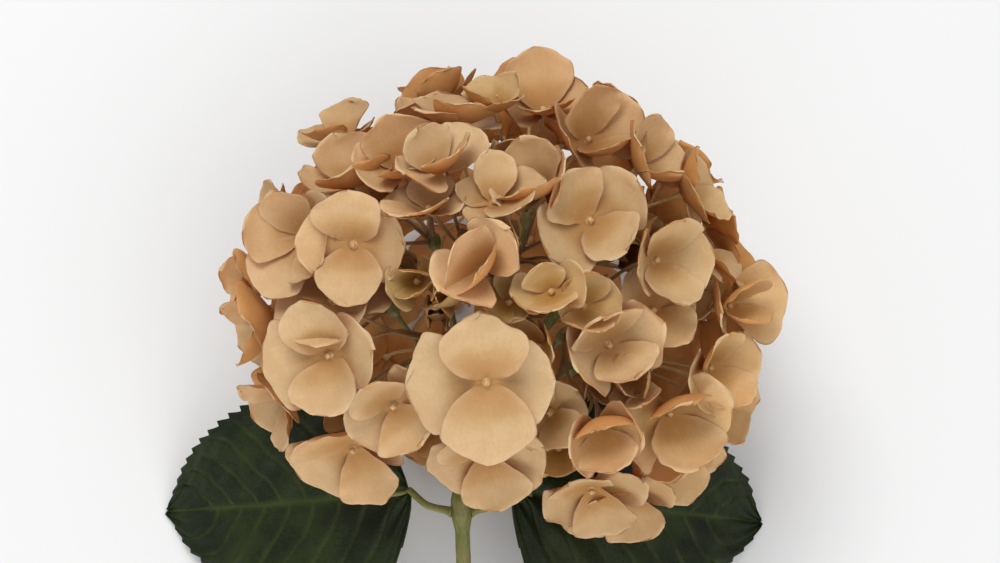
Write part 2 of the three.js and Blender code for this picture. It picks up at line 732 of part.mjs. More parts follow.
/** The line of a leaf: the points of its short stalk, then of its blade's midrib, for a given droop. */
function leafLine(side, droop) {
  const start = vec(STEM_SHIFT + side * (0.675 * STEM_WIDTH + GAP + 0.9), -LEAF_DROP, 0);
  const end = start.clone().add(vec(side * 0.88, 0.34, -0.33).multiplyScalar(PETIOLE_LENGTH));
  const stalk = [start, start.clone().lerp(end, 0.5).add(vec(0, -1, 1.2)), end];
  const blade = [];
  const lay = vec(side * 0.97, side > 0 ? -0.16 : -0.12, -0.16).normalize();
  const at = end.clone();
  for (let i = 0; i <= LEAF_STEPS; i += 1) {
    blade.push(at.clone());
    lay.addScaledVector(vec(0, 0, -1), droop / LEAF_STEPS).normalize();
    at.addScaledVector(lay, LEAF_LENGTH / LEAF_STEPS);
  }
  return { stalk, blade };
}

/** How much a leaf droops for its tip to lie on the surface. */
function leafDroop(side) {
  let low = 0;
  let high = 3;
  for (let i = 0; i < 30; i += 1) {
    const droop = (low + high) / 2;
    const tip = leafLine(side, droop).blade.at(-1);
    if (tip.dot(DOWN) < REST_DEPTH - 1.2) {
      low = droop;
    } else {
      high = droop;
    }
  }
  return low;
}

const LEAF_STEPS = 16;
const LEAF_COLUMNS = [-1, -0.5, 0, 0.5, 1];

/** The cross-sections of a leaf: each has its upper points from side to side, then its lower ones back. */
function leafSections(side) {
  const { stalk, blade } = leafLine(side, leafDroop(side));
  const line = [...stalk, ...blade];
  return line.map((at, i) => {
    const along = line[Math.min(i + 1, line.length - 1)].clone().sub(line[Math.max(i - 1, 0)]).normalize();
    const across = along.clone().cross(vec(0, 0, 1)).normalize();
    const up = across.clone().cross(along);
    const t = (i - stalk.length) / LEAF_STEPS;
    const flat = i >= stalk.length;
    const shape = flat ? Math.sin(Math.PI * Math.min(1, 0.07 + 0.93 * t) ** 0.74) ** 0.75 : 0;
    const tooth = i % 2 ? 1 : 0.94;
    const half = flat ? Math.max((LEAF_WIDTH / 2) * shape * tooth, 1.2) : 1.6;
    const full = Math.min(1, 0.3 + 4 * Math.min(t, 1 - t));
    const place = (share, lift) => at.clone().addScaledVector(across, share * half).addScaledVector(up, lift);
    const rise = (share) => half * (0.16 * full + 0.03 * Math.sin(i * 1.7 + share * 2)) * Math.abs(share);
    const round = (share) => Math.sqrt(1 - 0.72 * share * share) * half;
    const upper = LEAF_COLUMNS.map((share) => place(share, flat ? rise(share) + 0.45 : round(share)));
    const lower = [...LEAF_COLUMNS].reverse().map((share) => {
      const rib = share === 0 ? 1.1 * full : 0;
      return place(share, flat ? rise(share) - 0.45 - rib : -round(share));
    });
    return { at, upper, lower, flat };
  });
}

/** Points of a leaf that the florets keep clear of. */
function leafLimbs(side) {
  const sections = leafSections(side);
  return sections.slice(1).map(({ upper }, i) => {
    const points = [];
    for (let k = 0; k + 1 < upper.length; k += 1) {
      for (const t of [0, 0.25, 0.5, 0.75, 1]) {
        points.push({ at: upper[k].clone().lerp(upper[k + 1], t) });
        points.push({ at: sections[i].upper[k].clone().lerp(upper[k + 1], (1 + t) / 2) });
      }
    }
    return limb(null, null, points, 3.4);
  });
}

/** A leaf: a short stalk and a toothed, arching blade with a raised midrib below. */
function leafSolid(side) {
  const sections = leafSections(side);
  const points = sections.flatMap(({ upper, lower }) => [...upper, ...lower]);
  const faces = [];
  const wide = 2 * LEAF_COLUMNS.length;
  for (let i = 0; i + 1 < sections.length; i += 1) {
    for (let k = 0; k < wide; k += 1) {
      const a = i * wide + k;
      const b = i * wide + ((k + 1) % wide);
      faces.push([a, b, b + wide], [a, b + wide, a + wide]);
    }
  }
  const last = (sections.length - 1) * wide;
  for (let k = 1; k + 1 < wide; k += 1) {
    faces.push([0, k + 1, k], [last, last + k, last + k + 1]);
  }
  const body = solid(points, faces);
  return body.volume() > 0 ? body : solid(points, faces.map(([a, b, c]) => [a, c, b]));
}

/** The line of a branch from the stalk's top to its tip. */
function rayLine({ hub, tip, way }) {
  return [hub, hub.clone().lerp(tip, 0.5).addScaledVector(way, 0.5).add(vec(0, -1.5, 0)), tip];
}

/** The stem and its branches as the florets feel them. */
function stemLimbs(rays) {
  const { hub } = rays[0];
  const joint = vec(STEM_SHIFT, -LEAF_DROP, 0);
  const branches = rays.map(rayLine).flatMap(([from, middle, to]) => [[from, middle], [middle, to]]);
  const rods = [[joint.clone().setY(-LEAF_DROP * 1.4), joint], [joint, hub], ...branches];
  return rods.map(([from, to], i) => {
    const count = Math.ceil(from.distanceTo(to) / 3);
    const points = Array.from({ length: count }, (_, k) => ({ at: from.clone().lerp(to, k / count) }));
    return limb(null, null, points, i < 2 ? STEM_WIDTH / 2 + 1 : 2.3);
  });
}

/** A named mesh of a solid, laid down with the rest. */
function piece(name, body, colour, roughness, lay) {
  const { vertProperties, triVerts } = body.getMesh();
  const geometry = new THREE.BufferGeometry();
  geometry.setAttribute('position', new THREE.BufferAttribute(Float32Array.from(vertProperties), 3));
  geometry.setIndex(new THREE.BufferAttribute(Uint32Array.from(triVerts), 1));
  geometry.applyMatrix4(lay);
  const material = new THREE.MeshStandardMaterial({ color: colour, roughness, metalness: 0 });
  const mesh = new THREE.Mesh(geometry, material);
  mesh.name = name;
  return mesh;
}

/** Builds the whole part. */
function build() {
  const leaves = [...leafLimbs(-1), ...leafLimbs(1)];
  const florets = plantFlorets(leaves);
  const pieces = pairFlorets(florets);
  const rays = plantRays(pieces);
  rootPieces(rays);
  const fixed = [...leaves, ...stemLimbs(rays)];
  settle(florets, fixed, 70, true, 0.02);
  settle(florets, fixed, 50, false, 0.01);
  settle(florets, fixed, 60, false, 0);
  const frame = [stemSolid(rays), leafSolid(-1), leafSolid(1)];
  const { bodies, touching } = clearPieces(pieces, fixed, frame);
  if (touching) {
    console.error(`${touching} pairs of florets still touch`);
  }
  const lay = new THREE.Matrix4().makeRotationX(LEAN);
  const group = new THREE.Group();
  group.name = 'cut_hydrangea';
  group.add(piece('stem', frame[0], COLOURS.stem, 0.6, lay));
  group.add(piece('leaf_left', frame[1], COLOURS.leaf, 0.5, lay));
  group.add(piece('leaf_right', frame[2], COLOURS.leaf, 0.5, lay));
  bodies.forEach((body, i) => {
    const kind = pieces[i].length > 1 ? 'floret_pair' : 'floret';
    const colour = COLOURS.sepal[i % COLOURS.sepal.length];
    group.add(piece(`${kind}_${String(i + 1).padStart(2, '0')}`, body, colour, 0.8, lay));
  });
  const box = new THREE.Box3().setFromObject(group);
  const middle = box.getCenter(vec(0, 0, 0));
  const home = new THREE.Matrix4().makeTranslation(-middle.x, -middle.y, -box.min.z);
  group.children.forEach((mesh) => mesh.geometry.applyMatrix4(home));
  return group;
}

export default build();
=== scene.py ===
"""Dresses the cut hydrangea: florets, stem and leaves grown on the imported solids, with light and camera."""

import logging
import math
from dataclasses import dataclass, field
from enum import Enum
from typing import Callable, Iterable, Sequence

import bmesh
import bpy
import numpy as np
from mathutils import Matrix, Vector


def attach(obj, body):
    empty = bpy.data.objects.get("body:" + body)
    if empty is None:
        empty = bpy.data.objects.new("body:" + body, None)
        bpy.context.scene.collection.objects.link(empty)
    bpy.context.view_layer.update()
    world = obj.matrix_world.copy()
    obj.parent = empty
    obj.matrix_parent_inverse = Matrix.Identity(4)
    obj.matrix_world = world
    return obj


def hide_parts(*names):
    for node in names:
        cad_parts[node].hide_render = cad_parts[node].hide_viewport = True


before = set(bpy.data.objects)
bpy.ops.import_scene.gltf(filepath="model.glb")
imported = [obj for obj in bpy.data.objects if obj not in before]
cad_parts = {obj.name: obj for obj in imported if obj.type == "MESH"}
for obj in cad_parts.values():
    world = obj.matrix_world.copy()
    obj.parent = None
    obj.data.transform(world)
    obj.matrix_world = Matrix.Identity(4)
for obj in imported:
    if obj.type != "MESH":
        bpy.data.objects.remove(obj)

logging.basicConfig(level=logging.INFO, format="%(message)s")
log = logging.getLogger("hydrangea")

Array = np.ndarray
MM = 0.001
WELD = 2e-5


# ---------------------------------------------------------------- sizes


@dataclass(frozen=True)
class HeadSizes:
    """The head's pose and the reach of its florets, in metres and radians."""

    lean: float = math.asin((81.0 - 3.2) / 285.0)
    half: tuple[float, float, float] = (0.100, 0.089, 0.082)


@dataclass(frozen=True)
class SepalSizes:
    """How a sepal is drawn from its landmarks."""

    rows: int = 24
    columns: int = 17
    longer: float = 1.13
    wider: float = 1.40
    thickness: float = 0.00046
    ruffle: float = 0.0005
    notch: float = 0.06
    neck: float = 0.26
    lap: float = 0.0006


@dataclass(frozen=True)
class StalkSizes:
    """The floret's own stalk and its bud."""

    sides: int = 10
    steps: int = 22
    radius: float = 0.00062
    cup: float = 0.0011
    swell: float = 0.00035
    bud: float = 0.00125


@dataclass(frozen=True)
class StemSizes:
    """The stem's skin and what marks it."""

    voxel: float = 0.0006
    smooth: int = 8
    lenticel: float = 0.00035
    density: float = 9000.0


@dataclass(frozen=True)
class LeafSizes:
    """The leaf blade's drawing."""

    along: int = 150
    across: int = 34
    teeth: int = 21
    tooth: float = 0.0026
    vein_pairs: int = 8
    relief: float = 0.0011
    thickness: float = 0.00055
    midrib: float = 0.0013


class Side(Enum):
    """Which leaf."""

    LEFT = "leaf_left"
    RIGHT = "leaf_right"


# ---------------------------------------------------------------- geometry helpers


def corners(mesh: bpy.types.Mesh) -> Array:
    """Args: mesh: a mesh. Returns: its corners, (n, 3)."""
    raw = np.zeros(len(mesh.vertices) * 3)
    mesh.vertices.foreach_get("co", raw)
    return raw.reshape(-1, 3)


def linked(name: str, data: bpy.types.ID | None) -> bpy.types.Object:
    """Args: name: the object's; data: its mesh, light or camera. Returns: the object, in the scene."""
    made = bpy.data.objects.new(name, data)
    bpy.context.scene.collection.objects.link(made)
    return made


def declared(made: bpy.types.Object, node: str) -> bpy.types.Object:
    """Parents a dressed piece to the root and hides its CAD node. Args: made: a dressed piece; node: the CAD node
    it stands for. Returns: it.
    """
    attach(made, "root")
    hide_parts(node)
    return made


def rim(rows: int, columns: int) -> list[int]:
    """Args: rows, columns: corners each way. Returns: the corners round the grid's edge, in order."""
    ring = [i * columns for i in range(rows)] + [(rows - 1) * columns + j for j in range(1, columns)]
    ring += [i * columns + columns - 1 for i in range(rows - 2, -1, -1)]
    return ring + list(range(columns - 2, 0, -1))


def shell_faces(rows: int, columns: int, flip: bool, turn_wall: bool) -> list[tuple[int, ...]]:
    """Args: rows, columns: corners each way of a sheet; flip: turn both sheets; turn_wall: turn the wall.
    Returns: the faces of two sheets and of the wall round them."""
    n = rows * columns
    faces = grid_faces(rows, columns, 0, flip=not flip) + grid_faces(rows, columns, n, flip=flip)
    ring = rim(rows, columns)
    for a, b in zip(ring, ring[1:] + ring[:1]):
        quad = (a, b, b + n, a + n)
        faces.append(quad[::-1] if turn_wall else quad)
    return faces


def unit(v: Array) -> Array:
    """Args: v: vectors on the last axis. Returns: them at length one."""
    n = np.linalg.norm(v, axis=-1, keepdims=True)
    return v / np.maximum(n, 1e-12)


def smooth_step(x: Array | float, low: float, high: float) -> Array:
    """Args: x: values; low, high: limits. Returns: 0 below low, 1 above high, smooth between."""
    t = np.clip((np.asarray(x, float) - low) / (high - low), 0.0, 1.0)
    return t * t * (3 - 2 * t)


def spline(points: Array, count: int) -> Array:
    """Args: points: (n, 3) to pass through; count: how many to return. Returns: a smooth curve's points."""
    p = np.vstack([2 * points[0] - points[1], points, 2 * points[-1] - points[-2]])
    lengths = np.linalg.norm(np.diff(points, axis=0), axis=1)
    at = np.concatenate([[0], np.cumsum(lengths)]) / lengths.sum()
    out = []
    for s in np.linspace(0, 1, count):
        i = min(int(np.searchsorted(at, s, side="right")) - 1, len(points) - 2)
        t = (s - at[i]) / max(at[i + 1] - at[i], 1e-9)
        a, b, c, d = p[i : i + 4]
        out.append(
            0.5 * (2 * b + (c - a) * t + (2 * a - 5 * b + 4 * c - d) * t * t + (3 * b - a - 3 * c + d) * t**3)
        )
    return np.array(out)


@dataclass
class Skin:
    """A mesh being gathered: corners, faces, material numbers and values kept on the corners."""

    points: list[Array] = field(default_factory=list)
    faces: list[tuple[int, ...]] = field(default_factory=list)
    slots: list[int] = field(default_factory=list)
    values: dict[str, list[Array]] = field(default_factory=dict)
    count: int = 0

    def add(self, points: Array, faces: Iterable[Sequence[int]], slot: int, **values: Array) -> None:
        """Adds a patch. Args: points: (n, 3); faces: corner numbers in it; slot: material; values: per corner."""
        for face in faces:
            self.faces.append(tuple(int(i) + self.count for i in face))
            self.slots.append(slot)
        self.points.append(points)
        for name in VALUE_NAMES:
            given = values.get(name)
            width = VALUE_NAMES[name]
            block = np.zeros((len(points), width)) if given is None else np.asarray(given, float)
            self.values.setdefault(name, []).append(block.reshape(len(points), width))
        self.count += len(points)

    def build(self, name: str, materials: Sequence[bpy.types.Material]) -> bpy.types.Object:
        """Args: name: the object's; materials: its slots. Returns: the linked object, shaded smooth."""
        mesh = bpy.data.meshes.new(name)
        mesh.from_pydata(np.vstack(self.points).tolist(), [], self.faces)
        for material in materials:
            mesh.materials.append(material)
        mesh.polygons.foreach_set("material_index", self.slots)
        mesh.polygons.foreach_set("use_smooth", [True] * len(self.faces))
        loops = np.zeros(len(mesh.loops), int)
        mesh.loops.foreach_get("vertex_index", loops)
        for key, blocks in self.values.items():
            data = np.vstack(blocks)
            if key == "uv":
                layer = mesh.uv_layers.new(name="Grown")
                layer.data.foreach_set("uv", data[loops][:, :2].ravel())
            elif VALUE_NAMES[key] == 3:
                rgba = np.hstack([data, np.ones((len(data), 1))])
                layer = mesh.color_attributes.new(name=key, type="FLOAT_COLOR", domain="POINT")
                layer.data.foreach_set("color", rgba.ravel())
            else:
                layer = mesh.attributes.new(name=key, type="FLOAT", domain="POINT")
                layer.data.foreach_set("value", data.ravel())
        mesh.validate()
        return linked(name, mesh)


# Values kept on the corners: shade is painted shade along each sepal and the vein mask on leaves; the last is the
# share of painted shade deep in the head.
VALUE_NAMES = {"uv": 2, "tint": 3, "under": 1, "margin": 1, "shade": 1, "deep": 1}


def grid_faces(rows: int, columns: int, start: int, flip: bool) -> list[tuple[int, ...]]:
    """Args: rows, columns: corners each way; start: first corner; flip: face the other way. Returns: quads."""
    out = []
    for i in range(rows - 1):
        for j in range(columns - 1):
            a = start + i * columns + j
            quad = (a, a + 1, a + columns + 1, a + columns)
            out.append(quad[::-1] if flip else quad)
    return out


def tube(path: Array, radii: Array, sides: int) -> tuple[Array, list[tuple[int, ...]]]:
    """Args: path: (n, 3); radii: (n,); sides: round it. Returns: corners and faces of a capped tube."""
    along = unit(np.gradient(path, axis=0))
    side = np.cross(along[0], [0.0, 0.0, 1.0])
    if np.linalg.norm(side) < 0.1:
        side = np.cross(along[0], [1.0, 0.0, 0.0])
    points = []
    turn = np.linspace(0, 2 * math.pi, sides, endpoint=False)
    for at, way, r in zip(path, along, radii):
        side = unit(side - way * float(side @ way))
        other = np.cross(way, side)
        points.append(at + r * (np.outer(np.cos(turn), side) + np.outer(np.sin(turn), other)))
    faces: list[tuple[int, ...]] = []
    for i in range(len(path) - 1):
        for k in range(sides):
            a, b = i * sides + k, i * sides + (k + 1) % sides
            faces.append((a, b, b + sides, a + sides))
    last = (len(path) - 1) * sides
    faces.append(tuple(range(sides))[::-1])
    faces.append(tuple(range(last, last + sides)))
    return np.vstack(points), faces


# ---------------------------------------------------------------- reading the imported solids


class Solid:
    """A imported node's corners and triangles, merged, with each corner's neighbours."""

    def __init__(self, name: str) -> None:
        """Args: name: the CAD node."""
        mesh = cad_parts[name].data
        raw = corners(mesh)
        mesh.calc_loop_triangles()
        ends = np.zeros(len(mesh.loop_triangles) * 3, int)
        mesh.loop_triangles.foreach_get("vertices", ends)
        cells = np.round(raw / WELD).astype(int)
        _, first, same = np.unique(cells, axis=0, return_index=True, return_inverse=True)
        self.points: Array = raw[first]
        faces = same.ravel()[ends].reshape(-1, 3)
        keep = (faces[:, 0] != faces[:, 1]) & (faces[:, 1] != faces[:, 2]) & (faces[:, 0] != faces[:, 2])
        self.faces: Array = faces[keep]
        self.after: list[dict[int, int]] = [{} for _ in self.points]
        for a, b, c in self.faces.tolist():
            self.after[a][b] = c
            self.after[b][c] = a
            self.after[c][a] = b

    def ring(self, corner: int, start: int | None = None) -> list[int]:
        """Args: corner: a corner; start: its first neighbour. Returns: its neighbours in order, or []."""
        nexts = self.after[corner]
        if start is None:
            start = next(iter(nexts))
        out = [start]
        while len(out) < len(nexts):
            following = nexts.get(out[-1])
            if following is None or following in out:
                return []
            out.append(following)
        return out


@dataclass
class SepalMarks:
    """A sepal's landmarks in metres: its base, edges, tip and middle."""

    base: Array
    base_left: Array
    base_right: Array
    left: Array
    right: Array
    tip_left: Array
    tip_right: Array
    middle: Array


CLOSINGS = [0.02, 0.16, 0.30, 0.45, -0.12]
CLOSING_SHARES = [0.24, 0.30, 0.22, 0.14, 0.10]


@dataclass
class FloretMarks:
    """One floret as read from its solid: bud, facing, sepals and the line of its stalk."""

    piece: str
    bud: Array
    hub: Array
    look: Array
    sepals: list[SepalMarks]
    stalk: list[Array]
    closing: float = 0.0
    laps: list[float] = field(default_factory=list)
    turns: list[float] = field(default_factory=list)

    def order(self, rng: np.random.Generator) -> None:
        """Settles which sepals lie inside, and how far each closes. Args: rng: random numbers."""
        self.closing = float(rng.choice(CLOSINGS, p=CLOSING_SHARES))
        rises = []
        for sepal in self.sepals:
            out = (sepal.tip_left + sepal.tip_right) / 2 - self.hub
            rises.append(math.asin(float(unit(out) @ self.look)))
        count = len(rises)
        even = float(np.mean(rises[0::2])) if rises else 0.0
        odd = float(np.mean(rises[1::2])) if count > 1 else 0.0
        first = 1.0 if even > odd else -1.0
        self.laps = [first if k % 2 == 0 else -first for k in range(count)]
        if count % 2:
            self.laps[-1] = 0.0
        middle = float(np.mean(rises)) if rises else 0.0
        apart = max(abs(even - odd) / 2, 0.11)
        self.turns = [(middle + lap * apart - rise) * 0.85 for lap, rise in zip(self.laps, rises)]


class FloretReader:
    """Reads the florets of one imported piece."""

    def __init__(self, name: str) -> None:
        """Args: name: the CAD node."""
        self.name = name
        self.solid = Solid(name)
        self.used: set[int] = set()

    def read(self) -> tuple[list[FloretMarks], Array]:
        """Returns: the piece's florets, and the foot of its stalk."""
        solid = self.solid
        found = []
        for corner in range(len(solid.points)):
            ring = solid.ring(corner) if len(solid.after[corner]) in (12, 15) else []
            if not ring:
                continue
            reach = np.linalg.norm(solid.points[ring] - solid.points[corner], axis=1)
            if 3.3 * MM < reach.min() and reach.max() < 3.8 * MM:
                found.append(self._floret(corner, ring, reach))
        loose = [i for i in range(len(solid.points)) if i not in self.used]
        left = solid.points[loose] if loose else solid.points
        centre = np.mean([f.hub for f in found], axis=0)
        far = left[np.argsort(-np.linalg.norm(left - centre, axis=1))[:4]]
        foot = far.mean(axis=0)
        if len(found) > 1:
            rest = left[np.linalg.norm(left - foot, axis=1) > 1.5 * MM]
            fork = np.median(rest, axis=0) if len(rest) else foot
            for floret in found:
                floret.stalk.append(fork)
        for floret in found:
            floret.stalk.append(foot)
        return found, foot

    def _floret(self, apex: int, ring: list[int], reach: Array) -> FloretMarks:
        """Args: apex: the bud's corner; ring: its neighbours; reach: their distances. Returns: the floret."""
        solid, p = self.solid, self.solid.points
        self.used.update([apex, *ring])
        hub = p[ring].mean(axis=0)
        look = unit(p[apex] - hub)
        under: set[int] = set()
        sepals: list[SepalMarks | None] = []
        azimuths = []
        for i in [k for k in range(len(ring)) if reach[k] > 3.53 * MM]:
            base, left, right = ring[i], ring[i - 1], ring[(i + 1) % len(ring)]
            azimuths.append(p[base] - hub)
            sepals.append(self._sepal(apex, base, left, right, under))
        self._fill(sepals, azimuths, hub, look)
        stalk = [hub]
        level = under
        for _ in range(2):
            self.used.update(level)
            following = {n for corner in level for n in solid.after[corner] if n not in self.used}
            if not 3 <= len(following) <= 6:
                break
            spread = p[list(following)]
            if np.ptp(spread, axis=0).max() > 4 * MM:
                break
            stalk.append(spread.mean(axis=0))
            level = following
        self.used.update(level)
        return FloretMarks(self.name, p[apex], hub, look, [s for s in sepals if s is not None], stalk)

    def _sepal(self, apex: int, base: int, left: int, right: int, under: set[int]) -> SepalMarks | None:
        """Args: apex, base, left, right: hub corners; under: gathers those below. Returns: the sepal, if whole."""
        solid, p = self.solid, self.solid.points
        middle = solid.after[base].get(left)
        if middle is None or middle == apex:
            middle = solid.after[left].get(base)
        around = solid.ring(middle, left) if middle is not None and left in solid.after[middle] else []
        if len(around) != 7:
            return None
        self.used.update([middle, *around])
        if around[-1] == base:
            edges = around[1:5]
        else:
            edges = around[:0:-1][1:5] if around[1] == base else around[1:5]
        edge_left, tip_left, tip_right, edge_right = edges
        back = [n for n in solid.after[tip_left] if n in solid.after[tip_right] and n != middle]
        if back:
            self.used.add(back[0])
            below = set(solid.after[back[0]]) - set(edges)
            under.update(n for n in below if np.linalg.norm(p[n] - p[base]) < 4 * MM)
        centre = (p[middle] + p[back[0]]) / 2 if back else p[middle]
        return SepalMarks(
            p[base], p[left], p[right], p[edge_left], p[edge_right], p[tip_left], p[tip_right], centre
        )

    def _fill(self, sepals: list[SepalMarks | None], ways: list[Array], hub: Array, look: Array) -> None:
        """Copies a whole sepal to where one could not be read. Args: sepals: to fill; ways: out along each;
        hub, look: the floret's middle and facing."""
        whole = next((k for k, sepal in enumerate(sepals) if sepal is not None), None)
        if whole is None:
            return
        for k, sepal in enumerate(sepals):
            if sepal is None:
                a, b = ways[whole], ways[k]
                turn = math.atan2(float(np.cross(a, b) @ look), float(a @ b))
                spin = np.array(Matrix.Rotation(turn, 3, Vector(look)))
                given = sepals[whole]
                moved = [hub + spin @ (getattr(given, f) - hub) for f in SepalMarks.__dataclass_fields__]
                sepals[k] = SepalMarks(*moved)


# ---------------------------------------------------------------- colours


class Hue(Enum):
    """The florets' base colours, linear."""

    PEACH = (0.715, 0.462, 0.188)
    CREAM = (0.820, 0.620, 0.330)
    TAN = (0.600, 0.322, 0.098)
    STRAW = (0.720, 0.498, 0.140)
    MOSS = (0.570, 0.430, 0.075)


def mixed(a: Hue | Array, b: Hue | Array, share: float) -> Array:
    """Args: a, b: colours; share: of b. Returns: the mix."""
    first = np.array(a.value if isinstance(a, Hue) else a)
    second = np.array(b.value if isinstance(b, Hue) else b)
    return first * (1 - share) + second * share


class Painter:
    """Chooses every floret's colour from where it sits in the head."""

    def __init__(self, centre: Array, turn: Array, rng: np.random.Generator) -> None:
        """Args: centre: of the head; turn: rows are the head's own axes; rng: random numbers."""
        self.centre = centre
        self.turn = turn
        self.rng = rng

    def place(self, point: Array) -> Array:
        """Args: point: in the row frame. Returns: it in the head's own frame, as shares of its half sizes."""
        return (self.turn @ (point - self.centre)) / np.array(HeadSizes().half)

    def depth(self, points: Array) -> Array:
        """Args: points: (n, 3). Returns: 0 at the head's surface to 1 well inside it, the share of painted shade
        for sepals and stalks.
        """
        share = ((points - self.centre) @ self.turn.T) / np.array(HeadSizes().half)
        return 1 - smooth_step(np.linalg.norm(share, axis=1), 0.50, 0.97)

    def tint(self, floret: FloretMarks) -> Array:
        """Args: floret: its landmarks. Returns: its linear colour."""
        x, y, z = self.place(floret.bud)
        out = math.sqrt(x * x + y * y + z * z)
        lengths = [float(np.linalg.norm(s.tip_left - s.base)) for s in floret.sepals]
        size = float(np.mean(lengths)) if lengths else 0.01
        colour = mixed(Hue.PEACH, Hue.CREAM, 0.25 + 0.5 * self.rng.random())
        colour = mixed(colour, Hue.TAN, float(smooth_step(-y, 0.35, 0.95)) * 0.45)
        colour = mixed(colour, Hue.TAN, float(smooth_step(y, 0.55, 1.0)) * 0.35)
        colour = mixed(colour, Hue.STRAW, float(smooth_step(x, 0.2, 0.9)) * 0.35)
        young = float(smooth_step(0.0145 - size, 0.0, 0.005)) * 0.8
        colour = mixed(colour, Hue.STRAW, young)
        colour = mixed(colour, Hue.MOSS, young * float(smooth_step(0.95 - out, 0.0, 0.25)) * 0.6)
        return colour * (0.93 + 0.14 * self.rng.random())


# ---------------------------------------------------------------- materials


class Tree:
    """A short way to add and join shader nodes."""

    def __init__(self, tree: bpy.types.NodeTree) -> None:
        """Args: tree: the node tree to fill."""
        self.tree = tree

    def add(self, kind: str, inputs: dict | None = None, **settings) -> bpy.types.Node:
        """Args: kind: node type; inputs: socket to value or socket; settings: the node's own. Returns: it."""
        node = self.tree.nodes.new(kind)
        for key, value in settings.items():
            setattr(node, key, value)
        for key, value in (inputs or {}).items():
            socket = node.inputs[key]
            if isinstance(value, bpy.types.NodeSocket):
                self.tree.links.new(value, socket)
            else:
                socket.default_value = value
        return node

    def math(self, operation: str, *values, clamp: bool = False) -> bpy.types.NodeSocket:
        """Args: operation: its name; values: numbers or sockets. Returns: the result's socket."""
        node = self.add("ShaderNodeMath", dict(enumerate(values)), operation=operation)
        node.use_clamp = clamp
        return node.outputs[0]

    def mix(self, share, a, b, blend: str = "MIX") -> bpy.types.NodeSocket:
        """Args: share: of b; a, b: colours or sockets; blend: how. Returns: the mixed colour's socket."""
        node = self.add("ShaderNodeMix", {0: share, 6: a, 7: b}, data_type="RGBA", blend_type=blend)
        return node.outputs[2]

    def ramp(self, value, stops: Sequence[tuple[float, float]]) -> bpy.types.NodeSocket:
        """Args: value: a socket; stops: place and grey. Returns: the ramped grey."""
        (low, at_low), (high, at_high) = stops
        node = self.add("ShaderNodeMapRange", {0: value, 1: low, 2: high, 3: at_low, 4: at_high})
        node.interpolation_type = "SMOOTHSTEP"
        return node.outputs[0]

    def noise(self, vector, scale, detail: float) -> bpy.types.NodeSocket:
        """Args: vector, scale, detail: the noise's. Returns: its value's socket."""
        inputs = {"Vector": vector, "Scale": scale, "Detail": detail}
        return self.add("ShaderNodeTexNoise", inputs).outputs["Fac"]

    def kept(self, name: str, output: str = "Fac") -> bpy.types.NodeSocket:
        """Args: name: a value kept on the mesh; output: which socket. Returns: it."""
        return self.add("ShaderNodeAttribute", attribute_name=name).outputs[output]

    def place(self) -> bpy.types.NodeSocket:
        """Returns: the Object coordinates' socket."""
        return self.add("ShaderNodeTexCoord").outputs["Object"]

    def times(self, colour, by: Sequence[float]) -> bpy.types.NodeSocket:
        """Args: colour: a socket; by: red, green and blue. Returns: the product's socket."""
        return self.mix(1.0, colour, (*by, 1.0), "MULTIPLY")


def group(name: str, inputs: dict[str, str], outputs: dict[str, str], fill: Callable) -> bpy.types.NodeTree:
    """Args: name: the group's; inputs, outputs: socket to type; fill: draws it. Returns: the shader group."""
    tree = bpy.data.node_groups.new(name, "ShaderNodeTree")
    for key, kind in inputs.items():
        tree.interface.new_socket(key, in_out="INPUT", socket_type=kind)
    for key, kind in outputs.items():
        tree.interface.new_socket(key, in_out="OUTPUT", socket_type=kind)
    entry = tree.nodes.new("NodeGroupInput")
    leave = tree.nodes.new("NodeGroupOutput")
    for key, socket in fill(Tree(tree), entry.outputs).items():
        tree.links.new(socket, leave.inputs[key])
    return tree


def fan_veins(tree: Tree, given) -> dict[str, bpy.types.NodeSocket]:
    """Veins that fan out from a sepal's base. Args: tree, given: the group's. Returns: its output sockets."""
    split = tree.add("ShaderNodeSeparateXYZ", {0: given["Vector"]})
    across = tree.math("SUBTRACT", split.outputs[0], 0.5)
    along = tree.math("MAXIMUM", split.outputs[1], 0.04)
    warp = tree.noise(given["Vector"], 5.0, 3.0)
    bent = tree.math("MULTIPLY_ADD", tree.math("SUBTRACT", warp, 0.5), 0.12, across)
    fan = tree.math("DIVIDE", bent, tree.math("POWER", along, 0.35))
    wave = tree.math("SINE", tree.math("MULTIPLY", fan, given["Count"]))
    line = tree.math("POWER", tree.math("ABSOLUTE", wave), 0.45)
    return {"Line": tree.math("SUBTRACT", 1.0, line, clamp=True), "Fine": tree.noise(given["Vector"], 42.0, 4.0)}


def mottle(tree: Tree, given) -> dict[str, bpy.types.NodeSocket]:
    """Soft blotches over a piece. Args: tree, given: the group's. Returns: its output sockets."""
    broad = tree.noise(given["Vector"], given["Scale"], 3.0)
    small = tree.noise(given["Vector"], 900.0, 4.0)
    return {"Value": tree.math("MULTIPLY_ADD", small, 0.35, tree.math("MULTIPLY", broad, 0.65))}


